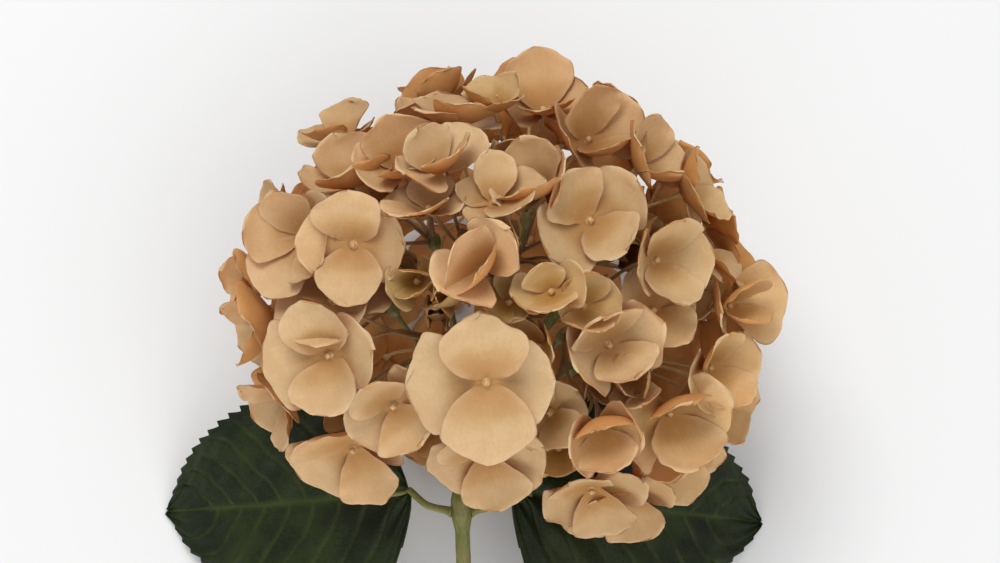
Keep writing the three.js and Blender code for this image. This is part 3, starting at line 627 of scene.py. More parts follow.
class Finishes:
    """The shared node groups and every material."""

    def __init__(self) -> None:
        """Builds the groups."""
        vector, value = "NodeSocketVector", "NodeSocketFloat"
        lines = {"Line": value, "Fine": value}
        self.veins = group("Fan veins", {"Vector": vector, "Count": value}, lines, fan_veins)
        self.blotch = group("Mottle", {"Vector": vector, "Scale": value}, {"Value": value}, mottle)

    def _start(self, name: str) -> tuple[bpy.types.Material, Tree]:
        """Args: name: the material's. Returns: it and its empty tree."""
        material = bpy.data.materials.new(name)
        material.use_nodes = True
        material.node_tree.nodes.clear()
        return material, Tree(material.node_tree)

    def _end(self, tree: Tree, shader: bpy.types.NodeSocket) -> None:
        """Joins a shader to the output. Args: tree: the material's; shader: the socket."""
        tree.add("ShaderNodeOutputMaterial", {"Surface": shader})

    def _group(self, tree: Tree, which: bpy.types.NodeTree, inputs: dict) -> bpy.types.Node:
        """Args: tree: the material's; which: the group; inputs: its values. Returns: the group's node."""
        node = tree.add("ShaderNodeGroup", node_tree=which)
        for key, value in inputs.items():
            if isinstance(value, bpy.types.NodeSocket):
                tree.tree.links.new(value, node.inputs[key])
            else:
                node.inputs[key].default_value = value
        return node

    def sepal(self) -> bpy.types.Material:
        """Returns: the thin warm tissue of the sepals, with painted shade at their bases and deep in the head, and
        painted highlight at their tips and margins.
        """
        material, tree = self._start("Sepal")
        tint = tree.kept("tint", "Color")
        under = tree.kept("under")
        margin = tree.kept("margin")
        shade = tree.kept("shade")
        uv = tree.add("ShaderNodeUVMap", uv_map="Grown").outputs["UV"]
        where = tree.place()
        veins = self._group(tree, self.veins, {"Vector": uv, "Count": 34.0})
        spots = self._group(tree, self.blotch, {"Vector": where, "Scale": 160.0}).outputs["Value"]
        deep = tree.kept("deep")
        # painted shade: each sepal turns deep orange towards its base, down in the floret's cup
        warm = tree.mix(0.72, tint, (0.50, 0.185, 0.022, 1.0))
        colour = tree.mix(tree.math("MULTIPLY", shade, 0.72), tint, warm)
        # painted highlight: each sepal turns cream towards its tip and along its margins
        light = tree.mix(0.62, tint, (0.95, 0.82, 0.57, 1.0))
        tips = tree.math("SUBTRACT", 0.36, tree.math("MULTIPLY", shade, 0.9), clamp=True)
        colour = tree.mix(tips, colour, light)
        colour = tree.mix(tree.math("MULTIPLY", tree.math("POWER", margin, 4.0), 0.45), colour, light)
        darker = tree.times(colour, (0.80, 0.66, 0.50))
        colour = tree.mix(tree.math("MULTIPLY", veins.outputs["Line"], 0.10), colour, darker)
        colour = tree.mix(tree.ramp(spots, ((0.42, 0.25), (0.6, 0.0))), colour, darker)
        russet = tree.times(colour, (0.84, 0.54, 0.25))
        colour = tree.mix(tree.math("MULTIPLY", under, 0.7), colour, russet)
        # painted shade: the deeper a sepal sits inside the head, the more it is darkened towards brown, as the
        # packed florets shade it
        inner_shade_colour = tree.times(colour, (0.36, 0.12, 0.04))
        colour = tree.mix(tree.math("MULTIPLY", deep, 0.95), colour, inner_shade_colour)
        sunk = tree.math("MULTIPLY", veins.outputs["Line"], -0.5)
        height = tree.math("MULTIPLY_ADD", veins.outputs["Fine"], 0.25, sunk)
        bump = tree.add("ShaderNodeBump", {"Strength": 0.10, "Distance": 0.0003, "Height": height})
        body = tree.add(
            "ShaderNodeBsdfPrincipled",
            {
                "Base Color": colour,
                "Roughness": 0.52,
                "Specular IOR Level": 0.18,
                "Normal": bump.outputs["Normal"],
            },
        )
        through = tree.times(colour, (1.0, 0.66, 0.30))
        glow = tree.add("ShaderNodeBsdfTranslucent", {"Color": through, "Normal": bump.outputs["Normal"]})
        both = tree.add("ShaderNodeMixShader", {0: 0.34, 1: body.outputs[0], 2: glow.outputs[0]})
        self._end(tree, both.outputs[0])
        return material

    def stalk(self) -> bpy.types.Material:
        """Returns: the florets' thin stalks, pinkish cream turning green inside the head, and darkened there as
        painted shade.
        """
        material, tree = self._start("Pedicel")
        tint = tree.kept("tint", "Color")
        where = tree.place()
        spots = self._group(tree, self.blotch, {"Vector": where, "Scale": 240.0}).outputs["Value"]
        dark = tree.times(tint, (0.6, 0.52, 0.4))
        colour = tree.mix(tree.ramp(spots, ((0.4, 0.5), (0.62, 0.0))), tint, dark)
        # painted shade: the deeper a stalk sits inside the head, the more it is darkened towards brown
        deep = tree.kept("deep")
        inner_shade_colour = tree.times(colour, (0.45, 0.30, 0.20))
        colour = tree.mix(tree.math("MULTIPLY", deep, 0.8), colour, inner_shade_colour)
        body = tree.add("ShaderNodeBsdfPrincipled", {"Base Color": colour, "Roughness": 0.55})
        self._end(tree, body.outputs[0])
        return material

    def bud(self) -> bpy.types.Material:
        """Returns: the small buds at the florets' middles."""
        material, tree = self._start("Bud")
        where = tree.place()
        spots = self._group(tree, self.blotch, {"Vector": where, "Scale": 700.0}).outputs["Value"]
        share = tree.ramp(spots, ((0.4, 1.0), (0.6, 0.0)))
        colour = tree.mix(share, (0.62, 0.40, 0.18, 1.0), (0.46, 0.26, 0.10, 1.0))
        body = tree.add("ShaderNodeBsdfPrincipled", {"Base Color": colour, "Roughness": 0.6})
        self._end(tree, body.outputs[0])
        return material

    def stem(self) -> bpy.types.Material:
        """Returns: the green stem, with fine streaks along it."""
        material, tree = self._start("Stem")
        where = tree.place()
        long = tree.add("ShaderNodeMapping", {"Vector": where, "Scale": (1.0, 0.06, 1.0)}).outputs[0]
        streak = tree.noise(long, 900.0, 4.0)
        spots = self._group(tree, self.blotch, {"Vector": where, "Scale": 90.0}).outputs["Value"]
        share = tree.ramp(streak, ((0.35, 0.0), (0.68, 1.0)))
        colour = tree.mix(share, (0.115, 0.130, 0.020, 1.0), (0.175, 0.180, 0.040, 1.0))
        colour = tree.mix(tree.ramp(spots, ((0.46, 0.0), (0.62, 0.6))), colour, (0.22, 0.17, 0.06, 1.0))
        bump = tree.add("ShaderNodeBump", {"Strength": 0.35, "Distance": 0.0003, "Height": streak})
        body = tree.add(
            "ShaderNodeBsdfPrincipled",
            {"Base Color": colour, "Roughness": 0.5, "Normal": bump.outputs["Normal"]},
        )
        self._end(tree, body.outputs[0])
        return material

    def pith(self) -> bpy.types.Material:
        """Returns: the pale pith of the cut end."""
        material, tree = self._start("Pith")
        where = tree.place()
        cells = tree.add("ShaderNodeTexVoronoi", {"Vector": where, "Scale": 2600.0}).outputs["Distance"]
        share = tree.ramp(cells, ((0.1, 0.0), (0.6, 1.0)))
        colour = tree.mix(share, (0.34, 0.33, 0.17, 1.0), (0.56, 0.55, 0.36, 1.0))
        body = tree.add("ShaderNodeBsdfPrincipled", {"Base Color": colour, "Roughness": 0.85})
        self._end(tree, body.outputs[0])
        return material

    def lenticel(self) -> bpy.types.Material:
        """Returns: the corky specks on the stem."""
        material, tree = self._start("Lenticel")
        where = tree.place()
        spots = self._group(tree, self.blotch, {"Vector": where, "Scale": 500.0}).outputs["Value"]
        colour = tree.mix(spots, (0.20, 0.11, 0.05, 1.0), (0.30, 0.20, 0.10, 1.0))
        body = tree.add("ShaderNodeBsdfPrincipled", {"Base Color": colour, "Roughness": 0.8})
        self._end(tree, body.outputs[0])
        return material

    def leaf(self) -> bpy.types.Material:
        """Returns: the dark green blade with paler veins."""
        material, tree = self._start("Leaf")
        under = tree.kept("under")
        vein = tree.kept("shade")
        where = tree.place()
        spots = self._group(tree, self.blotch, {"Vector": where, "Scale": 60.0}).outputs["Value"]
        share = tree.ramp(spots, ((0.4, 0.0), (0.62, 1.0)))
        colour = tree.mix(share, (0.006, 0.011, 0.001, 1.0), (0.016, 0.026, 0.003, 1.0))
        colour = tree.mix(tree.math("MULTIPLY", vein, 0.55), colour, (0.055, 0.075, 0.014, 1.0))
        colour = tree.mix(tree.math("MULTIPLY", under, 0.8), colour, (0.085, 0.125, 0.045, 1.0))
        net = tree.add("ShaderNodeTexVoronoi", {"Vector": where, "Scale": 520.0}, feature="DISTANCE_TO_EDGE")
        cells = tree.ramp(net.outputs["Distance"], ((0.0, 0.0), (0.12, 1.0)))
        bump = tree.add("ShaderNodeBump", {"Strength": 0.3, "Distance": 0.0003, "Height": cells})
        body = tree.add(
            "ShaderNodeBsdfPrincipled",
            {
                "Base Color": colour,
                "Roughness": 0.5,
                "Specular IOR Level": 0.22,
                "Normal": bump.outputs["Normal"],
            },
        )
        through = tree.times(colour, (1.3, 1.5, 0.6))
        glow = tree.add("ShaderNodeBsdfTranslucent", {"Color": through})
        both = tree.add("ShaderNodeMixShader", {0: 0.12, 1: body.outputs[0], 2: glow.outputs[0]})
        self._end(tree, both.outputs[0])
        return material

    def floor(self) -> bpy.types.Material:
        """Returns: the plain pale ground."""
        material, tree = self._start("Ground")
        body = tree.add(
            "ShaderNodeBsdfPrincipled",
            {"Base Color": (0.775, 0.785, 0.795, 1.0), "Roughness": 0.9, "Specular IOR Level": 0.1},
        )
        self._end(tree, body.outputs[0])
        return material


# ---------------------------------------------------------------- geometry nodes


class GrownNodes:
    """A geometry node group with named inputs, applied to an object and then made plain mesh."""

    def __init__(self, name: str, inputs: dict[str, tuple[str, object]]) -> None:
        """Args: name: the group's; inputs: name to socket type and default."""
        self.tree = bpy.data.node_groups.new(name, "GeometryNodeTree")
        face = self.tree.interface
        face.new_socket("Geometry", in_out="INPUT", socket_type="NodeSocketGeometry")
        for key, (kind, value) in inputs.items():
            socket = face.new_socket(key, in_out="INPUT", socket_type=kind)
            if value is not None:
                socket.default_value = value
        face.new_socket("Geometry", in_out="OUTPUT", socket_type="NodeSocketGeometry")
        self.given = self.tree.nodes.new("NodeGroupInput").outputs
        self.leave = self.tree.nodes.new("NodeGroupOutput")
        self.make = Tree(self.tree)

    def apply(self, target: bpy.types.Object, **values: object) -> bpy.types.Object:
        """Args: target: the object; values: inputs by name, with _ for spaces. Returns: it, as plain mesh."""
        modifier = target.modifiers.new(self.tree.name, "NODES")
        modifier.node_group = self.tree
        for item in self.tree.interface.items_tree:
            key = item.name.replace(" ", "_")
            if item.in_out == "INPUT" and key in values:
                modifier[item.identifier] = values[key]
        graph = bpy.context.evaluated_depsgraph_get()
        plain = bpy.data.meshes.new_from_object(
            target.evaluated_get(graph), preserve_all_data_layers=True, depsgraph=graph
        )
        target.modifiers.clear()
        old = target.data
        target.data = plain
        bpy.data.meshes.remove(old)
        return target


class RuffleNodes(GrownNodes):
    """Waves the margins of sepals, by the value kept as margin."""

    def __init__(self) -> None:
        """Draws the group."""
        value = "NodeSocketFloat"
        inputs = {"Amount": (value, 0.0006), "Scale": (value, 150.0), "Seed": (value, 0.0)}
        super().__init__("Ruffles", inputs)
        add = self.make.add
        at = add("GeometryNodeInputPosition").outputs[0]
        margin = add("GeometryNodeInputNamedAttribute", {"Name": "margin"}, data_type="FLOAT").outputs[0]
        noise = add(
            "ShaderNodeTexNoise",
            {"Vector": at, "Scale": self.given["Scale"], "W": self.given["Seed"], "Detail": 1.0},
            noise_dimensions="4D",
        )
        even = {0: noise.outputs["Color"], 1: (0.5, 0.5, 0.5)}
        spread = add("ShaderNodeVectorMath", even, operation="SUBTRACT")
        square = self.make.math("POWER", margin, 2.0)
        reach = self.make.math("MULTIPLY", square, self.make.math("MULTIPLY", self.given["Amount"], 5.0))
        moved = add("ShaderNodeVectorMath", {0: spread.outputs[0], "Scale": reach}, operation="SCALE")
        shift = {"Geometry": self.given["Geometry"], "Offset": moved.outputs[0]}
        place = add("GeometryNodeSetPosition", shift)
        whole = add("GeometryNodeRealizeInstances", {"Geometry": place.outputs[0]})
        self.tree.links.new(whole.outputs[0], self.leave.inputs[0])


class BudNodes(GrownNodes):
    """Puts a lobed bud on every point, turned to the point's normal."""

    def __init__(self, material: bpy.types.Material) -> None:
        """Args: material: the buds'."""
        value = "NodeSocketFloat"
        super().__init__("Buds", {"Radius": (value, 0.0016), "Lobes": (value, 4.0)})
        add, compute = self.make.add, self.make.math
        ball = add("GeometryNodeMeshUVSphere", {"Segments": 16, "Rings": 10, "Radius": self.given["Radius"]})
        at = add("GeometryNodeInputPosition").outputs[0]
        split = add("ShaderNodeSeparateXYZ", {0: at})
        around = compute("ARCTAN2", split.outputs[1], split.outputs[0])
        ridge = compute("COSINE", compute("MULTIPLY", around, self.given["Lobes"]))
        swell = compute("MULTIPLY_ADD", ridge, 0.1, 1.0)
        flat = add("ShaderNodeCombineXYZ", {0: swell, 1: swell, 2: 0.8})
        lobed = add("ShaderNodeVectorMath", {0: at, 1: flat.outputs[0]}, operation="MULTIPLY")
        shaped = add("GeometryNodeSetPosition", {"Geometry": ball.outputs[0], "Position": lobed.outputs[0]})
        normal = add("GeometryNodeInputNamedAttribute", {"Name": "look"}, data_type="FLOAT_VECTOR").outputs[0]
        turn = add("FunctionNodeAlignRotationToVector", {"Vector": normal}, axis="Z")
        every = add(
            "GeometryNodeInstanceOnPoints",
            {"Points": self.given["Geometry"], "Instance": shaped.outputs[0], "Rotation": turn.outputs[0]},
        )
        whole = add("GeometryNodeRealizeInstances", {"Geometry": every.outputs[0]})
        smooth = add("GeometryNodeSetShadeSmooth", {"Geometry": whole.outputs[0]})
        last = add("GeometryNodeSetMaterial", {"Geometry": smooth.outputs[0], "Material": material})
        self.tree.links.new(last.outputs[0], self.leave.inputs[0])


class LenticelNodes(GrownNodes):
    """Scatters small long corky specks over a skin, leaving the skin as it is."""

    def __init__(self, material: bpy.types.Material) -> None:
        """Args: material: the specks'."""
        value = "NodeSocketFloat"
        super().__init__(
            "Lenticels", {"Density": (value, 20000.0), "Size": (value, 0.0004), "Seed": ("NodeSocketInt", 3)}
        )
        add = self.make.add
        spread = add(
            "GeometryNodeDistributePointsOnFaces",
            {"Mesh": self.given["Geometry"], "Density": self.given["Density"], "Seed": self.given["Seed"]},
        )
        ball = add("GeometryNodeMeshIcoSphere", {"Radius": self.given["Size"], "Subdivisions": 2})
        size = add(
            "FunctionNodeRandomValue",
            {0: (0.5, 1.2, 0.25), 1: (1.0, 2.6, 0.5), "Seed": self.given["Seed"]},
            data_type="FLOAT_VECTOR",
        )
        every = add(
            "GeometryNodeInstanceOnPoints",
            {
                "Points": spread.outputs["Points"],
                "Instance": ball.outputs[0],
                "Rotation": spread.outputs["Rotation"],
                "Scale": size.outputs[0],
            },
        )
        whole = add("GeometryNodeRealizeInstances", {"Geometry": every.outputs[0]})
        smooth = add("GeometryNodeSetShadeSmooth", {"Geometry": whole.outputs[0]})
        painted = add("GeometryNodeSetMaterial", {"Geometry": smooth.outputs[0], "Material": material})
        self.tree.links.new(painted.outputs[0], self.leave.inputs[0])


# ---------------------------------------------------------------- the pieces


class SepalShape:
    """Draws one sepal as a thin closed skin through its landmarks."""

    def __init__(
        self,
        marks: SepalMarks,
        floret: FloretMarks,
        number: int,
        rng: np.random.Generator,
        depth: Callable[[Array], Array],
    ) -> None:
        """Args: marks: landmarks; floret: whose; number: its order; rng: random numbers; depth: of points."""
        self.depth = depth
        self.marks = marks
        self.floret = floret
        self.number = number
        self.rng = rng
        self.sizes = SepalSizes()

    def draw(self, skin: Skin, tint: Array) -> None:
        """Adds the sepal. Args: skin: where to; tint: its colour."""
        s, m, rng, hub = self.sizes, self.marks, self.rng, self.floret.hub
        look = self.floret.look
        longer = s.longer * rng.uniform(0.94, 1.05)
        tip = hub + ((m.tip_left + m.tip_right) / 2 - hub) * longer
        middle = hub + (m.middle - hub) * longer
        edge = (m.left + m.right) / 2
        base = hub + (m.base - hub) * 0.45
        end = tip + (tip - middle) * 0.20
        v = 1 - (1 - np.linspace(0, 1, s.rows)) ** 1.7
        line = self._centre(base, middle, end, v)
        lap = self.floret.laps[self.number] * s.lap
        line += look * (lap * smooth_step(v, 0.0, 0.3))[:, None]
        way = unit(np.gradient(line, axis=0))
        width = float(np.linalg.norm(m.right - m.left)) * s.wider * rng.uniform(0.95, 1.06)
        sides = unit(np.array([m.base_right - m.base_left, m.right - m.left, m.tip_right - m.tip_left]))
        place = np.interp(v, [0, 0.52, 1], [0, 1, 2])
        low = np.clip(place.astype(int), 0, 1)
        side = unit(sides[low] * (1 - (place - low))[:, None] + sides[low + 1] * (place - low)[:, None])
        side = unit(side - way * np.sum(side * way, axis=1, keepdims=True))
        up = np.cross(way, side)
        if float(up[2] @ look) < 0:
            up = -up
        outline = self._outline(v)
        cup = width / 2 * rng.uniform(0.08, 0.24) * (1.0 + 0.3 * self.floret.laps[self.number])
        cup += float((edge - m.middle) @ up[len(v) // 2])
        u = np.linspace(-1, 1, s.columns)
        u = np.sin(u * math.pi / 2 * 0.92) / math.sin(math.pi / 2 * 0.92)
        ripple = rng.uniform(0, 2 * math.pi, 4)
        lean = rng.uniform(-0.10, 0.10)
        roll = rng.uniform(-0.06, 0.10)
        grown, margin = [], []
        for i, t in enumerate(v):
            half = width / 2 * outline[i]
            wobble = 1 + 0.022 * np.sin(6 * t + ripple[0] + 1.7 * np.sign(u))
            wobble += lean * np.sign(u) * math.sin(math.pi * t)
            reach = u * half * wobble
            belly = cup * np.abs(u) ** 2 * math.sin(math.pi * min(t * 1.05, 1)) ** 0.6
            wave = 0.030 * width * np.sin(6.2 * t + ripple[1] + 1.5 * u) * np.abs(u) ** 1.6 * t
            flute = 0.012 * width * np.sin(17 * t + ripple[2] + 2.2 * np.sign(u)) * np.abs(u) ** 4
            flute = flute * smooth_step(t, 0.2, 0.6)
            crease = -0.010 * width * np.exp(-((u / 0.2) ** 2)) * (1 - t) ** 0.5
            curl = roll * width * t**3
            back = -0.16 * half * (np.abs(u) ** 2.2) * smooth_step(t, 0.55, 1.0)
            lift = belly + wave + flute + crease + curl
            row = line[i] + np.outer(reach, side[i]) + np.outer(lift, up[i]) + np.outer(back, way[i])
            grown.append(row)
            beside = np.abs(u) * smooth_step(outline[i], 0.0, 0.5)
            margin.append(np.maximum(beside, smooth_step(t, 0.80, 1.0)))
        grid = self._bend(np.array(grown), base, unit(tip - base), v)
        if rng.random() < 0.35:
            grid = self._notch(grid, way[-1], width, v)
        self._shell(skin, grid, np.array(margin), v, u, tint)

    def _bend(self, grid: Array, base: Array, way: Array, v: Array) -> Array:
        """Args: grid: corners; base: where it bends from; way: out; v: shares. Returns: it, curved inwards."""
        turn = self.floret.closing + self.floret.turns[self.number] + self.rng.uniform(-0.03, 0.03)
        axis = Vector(unit(np.cross(way, self.floret.look)))
        out = grid.copy()
        for i, t in enumerate(v):
            spin = np.array(Matrix.Rotation(turn * t**0.8, 3, axis))
            out[i] = base + (grid[i] - base) @ spin.T
        return out

    def _outline(self, v: Array) -> Array:
        """Args: v: shares along. Returns: the half width there, as a share of the widest."""
        peak = self.rng.uniform(0.54, 0.62)
        blunt = self.rng.uniform(2.0, 2.7)
        neck = self.sizes.neck
        rising = neck + (1 - neck) * np.sin(math.pi / 2 * np.clip(v / peak, 0, 1)) ** 0.85
        point = 0.5 if self.rng.random() < 0.75 else 0.72
        ending = np.clip(1 - np.clip((v - peak) / (1 - peak), 0, 1) ** blunt, 0, 1) ** point
        return np.where(v < peak, rising, ending)

    def _centre(self, base: Array, middle: Array, end: Array, v: Array) -> Array:
        """Args: base, middle, end: of the midline; v: shares along. Returns: its points."""
        t = v[:, None]
        m = 0.55
        a = base * ((t - m) * (t - 1) / (m * 1))
        b = middle * (t * (t - 1) / (m * (m - 1)))
        c = end * (t * (t - m) / (1 - m))
        return a + b + c

    def _notch(self, grid: Array, way: Array, width: float, v: Array) -> Array:
        """Args: grid: corners; way: out at the tip; width: the sepal's; v: shares. Returns: it, notched."""
        at = self.rng.uniform(-0.6, 0.6)
        u = np.linspace(-1, 1, grid.shape[1])
        dip = np.exp(-(((u - at) / 0.16) ** 2)) * width * self.sizes.notch
        fade = smooth_step(v, 0.75, 1.0)
        return grid - fade[:, None, None] * dip[None, :, None] * way

    def _shell(self, skin: Skin, grid: Array, margin: Array, v: Array, u: Array, tint: Array) -> None:
        """Closes the sheet into a thin skin. Args: skin: where to; grid: corners; margin: 0 to 1 at the edge;
        v, u: shares along and across; tint: colour."""
        rows, columns = grid.shape[:2]
        along = np.gradient(grid, axis=0)
        across = np.gradient(grid, axis=1)
        normal = np.cross(along, across)
        size = np.linalg.norm(normal, axis=2, keepdims=True)
        normal = np.where(size > 1e-12, normal / np.maximum(size, 1e-12), self.floret.look)
        normal[-1] = normal[-2]
        flip = float(np.mean(normal @ self.floret.look)) < 0
        face = -normal if flip else normal
        inner = np.ones((rows, columns))
        inner[-1, :] = inner[:, 0] = inner[:, -1] = 0.35
        depth = self.sizes.thickness / 2 * inner[:, :, None]
        upper = (grid + face * depth).reshape(-1, 3)
        lower = (grid - face * depth).reshape(-1, 3)
        n = rows * columns
        faces = shell_faces(rows, columns, flip, turn_wall=flip)
        uv = np.stack(np.meshgrid(u * 0.5 + 0.5, v), axis=-1).reshape(-1, 2)
        # painted shade mask: 1 at the sepal's base, fading to 0 three fifths along it; kept as shade
        base = (1 - smooth_step(v, 0.02, 0.62))[:, None] * np.ones(columns)[None, :]
        skin.add(
            np.vstack([upper, lower]),
            faces,
            0,
            uv=np.vstack([uv, uv]),
            tint=np.tile(tint, (2 * n, 1)),
            under=np.concatenate([np.zeros(n), np.ones(n)]),
            margin=np.concatenate([margin.ravel()] * 2),
            shade=np.concatenate([base.ravel()] * 2),
            deep=self.depth(np.vstack([upper, lower])),
        )


class FloretPiece:
    """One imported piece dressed: its florets' sepals, stalks and buds."""

    def __init__(self, name: str, painter: Painter, rng: np.random.Generator) -> None:
        """Args: name: the CAD node; painter: chooses colours; rng: random numbers."""
        self.name = name
        self.painter = painter
        self.rng = rng
        self.florets, self.foot = FloretReader(name).read()

    def build(
        self, ruffles: RuffleNodes, buds: BudNodes, finishes: dict[str, bpy.types.Material]
    ) -> bpy.types.Object:
        """Args: ruffles, buds: node groups; finishes: materials by name. Returns: the dressed piece."""
        skin = Skin()
        for floret in self.florets:
            floret.order(self.rng)
            tint = self.painter.tint(floret)
            for number, marks in enumerate(floret.sepals):
                shade = tint * (0.96 + 0.08 * self.rng.random())
                SepalShape(marks, floret, number, self.rng, self.painter.depth).draw(skin, shade)
            self._stalk(skin, floret, tint)
        made = skin.build(self.name + "_grown", [finishes["sepal"], finishes["stalk"], finishes["bud"]])
        ruffles.apply(made, Amount=SepalSizes().ruffle, Seed=float(self.rng.uniform(0, 50)))
        tips = self._buds(buds)
        self._join(made, tips)
        self._rest(made.data)
        return declared(made, self.name)

    def _rest(self, mesh: bpy.types.Mesh) -> None:
        """Presses what would pass through the surface flat against it. Args: mesh: the piece's."""
        points = corners(mesh)
        z = points[:, 2]
        points[:, 2] = np.where(z < 2 * MM, 0.2 * MM + 1.8 * MM * np.exp((z - 2 * MM) / (1.8 * MM)), z)
        mesh.vertices.foreach_set("co", points.ravel())
        mesh.update()

    def _stalk(self, skin: Skin, floret: FloretMarks, tint: Array) -> None:
        """Adds a floret's stalk and the cup under its bud. Args: skin: where to; floret: whose; tint: colour."""
        s = StalkSizes()
        line = [np.asarray(p) for p in floret.stalk]
        last = unit(line[-1] - line[-2]) * 1.3 * MM
        path = spline(np.array([line[0] + floret.look * 0.4 * MM, *line[1:], line[-1] + last]), s.steps)
        t = np.linspace(0, 1, s.steps)
        radii = s.radius * (1 + 0.25 * t) + s.cup * np.exp(-t / 0.05) + s.swell * np.exp(-(((t - 1) / 0.1) ** 2))
        points, faces = tube(path, radii, s.sides)
        green = mixed(tint * np.array([0.80, 0.68, 0.52]), np.array([0.36, 0.26, 0.09]), 0.5)
        shades = [mixed(tint * 0.85, green, float(smooth_step(x, 0.1, 0.75))) for x in t]
        colours = np.repeat(np.array(shades), s.sides, axis=0)
        skin.add(points, faces, 1, tint=colours, deep=self.painter.depth(points))

    def _buds(self, buds: BudNodes) -> bpy.types.Object:
        """Args: buds: the node group. Returns: an object of all the piece's buds."""
        mesh = bpy.data.meshes.new(self.name + "_buds")
        mesh.from_pydata([tuple(f.hub + f.look * 1.5 * MM) for f in self.florets], [], [])
        layer = mesh.attributes.new("look", "FLOAT_VECTOR", "POINT")
        layer.data.foreach_set("vector", np.array([f.look for f in self.florets]).ravel())
        made = linked(self.name + "_buds", mesh)
        return buds.apply(made, Radius=StalkSizes().bud, Lobes=float(len(self.florets[0].sepals)))

    def _join(self, made: bpy.types.Object, extra: bpy.types.Object) -> None:
        """Moves one object's mesh into another's. Args: made: keeps it; extra: gives it and goes."""
        with bpy.context.temp_override(active_object=made, selected_editable_objects=[made, extra]):
            bpy.ops.object.join()


class Stem:
    """The stem and its branches, with a smooth skin, corky specks and a cut end."""

    name = "stem"

    def build(self, finishes: dict[str, bpy.types.Material], specks: LenticelNodes) -> list[bpy.types.Object]:
        """Args: finishes: materials by name; specks: node group. Returns: the dressed stem's pieces."""
        s = StemSizes()
        made = linked("stem_grown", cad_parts[self.name].data.copy())
        made.data.materials.clear()
        self._weld(made)
        skin = made.modifiers.new("Skin", "REMESH")
        skin.mode = "VOXEL"
        skin.voxel_size = s.voxel
        even = made.modifiers.new("Even", "SMOOTH")
        even.iterations = s.smooth
        even.factor = 0.5
        graph = bpy.context.evaluated_depsgraph_get()
        plain = bpy.data.meshes.new_from_object(made.evaluated_get(graph), depsgraph=graph)
        made.modifiers.clear()
        made.data = plain
        plain.materials.append(finishes["stem"])
        plain.materials.append(finishes["pith"])
        self._shape(plain)
        declared(made, self.name)
        dots = linked("stem_lenticels", plain.copy())
        specks.apply(dots, Density=s.density, Size=s.lenticel, Seed=5)
        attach(dots, "root")
        return [made, dots]

    def _weld(self, made: bpy.types.Object) -> None:
        """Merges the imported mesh's loose triangles. Args: made: a copy of it."""
        work = bmesh.new()
        work.from_mesh(made.data)
        bmesh.ops.remove_doubles(work, verts=work.verts, dist=WELD)
        work.to_mesh(made.data)
        work.free()

    def _shape(self, mesh: bpy.types.Mesh) -> None:
        """Marks the cut end and shades the skin smooth. Args: mesh: the stem's."""
        low = corners(mesh)[:, 1].min()
        mesh.polygons.foreach_set("use_smooth", [True] * len(mesh.polygons))
        slots = []
        for face in mesh.polygons:
            end = face.center[1] < low + 0.0006 and face.normal[1] < -0.75
            slots.append(1 if end else 0)
        mesh.polygons.foreach_set("material_index", slots)
        mesh.update()


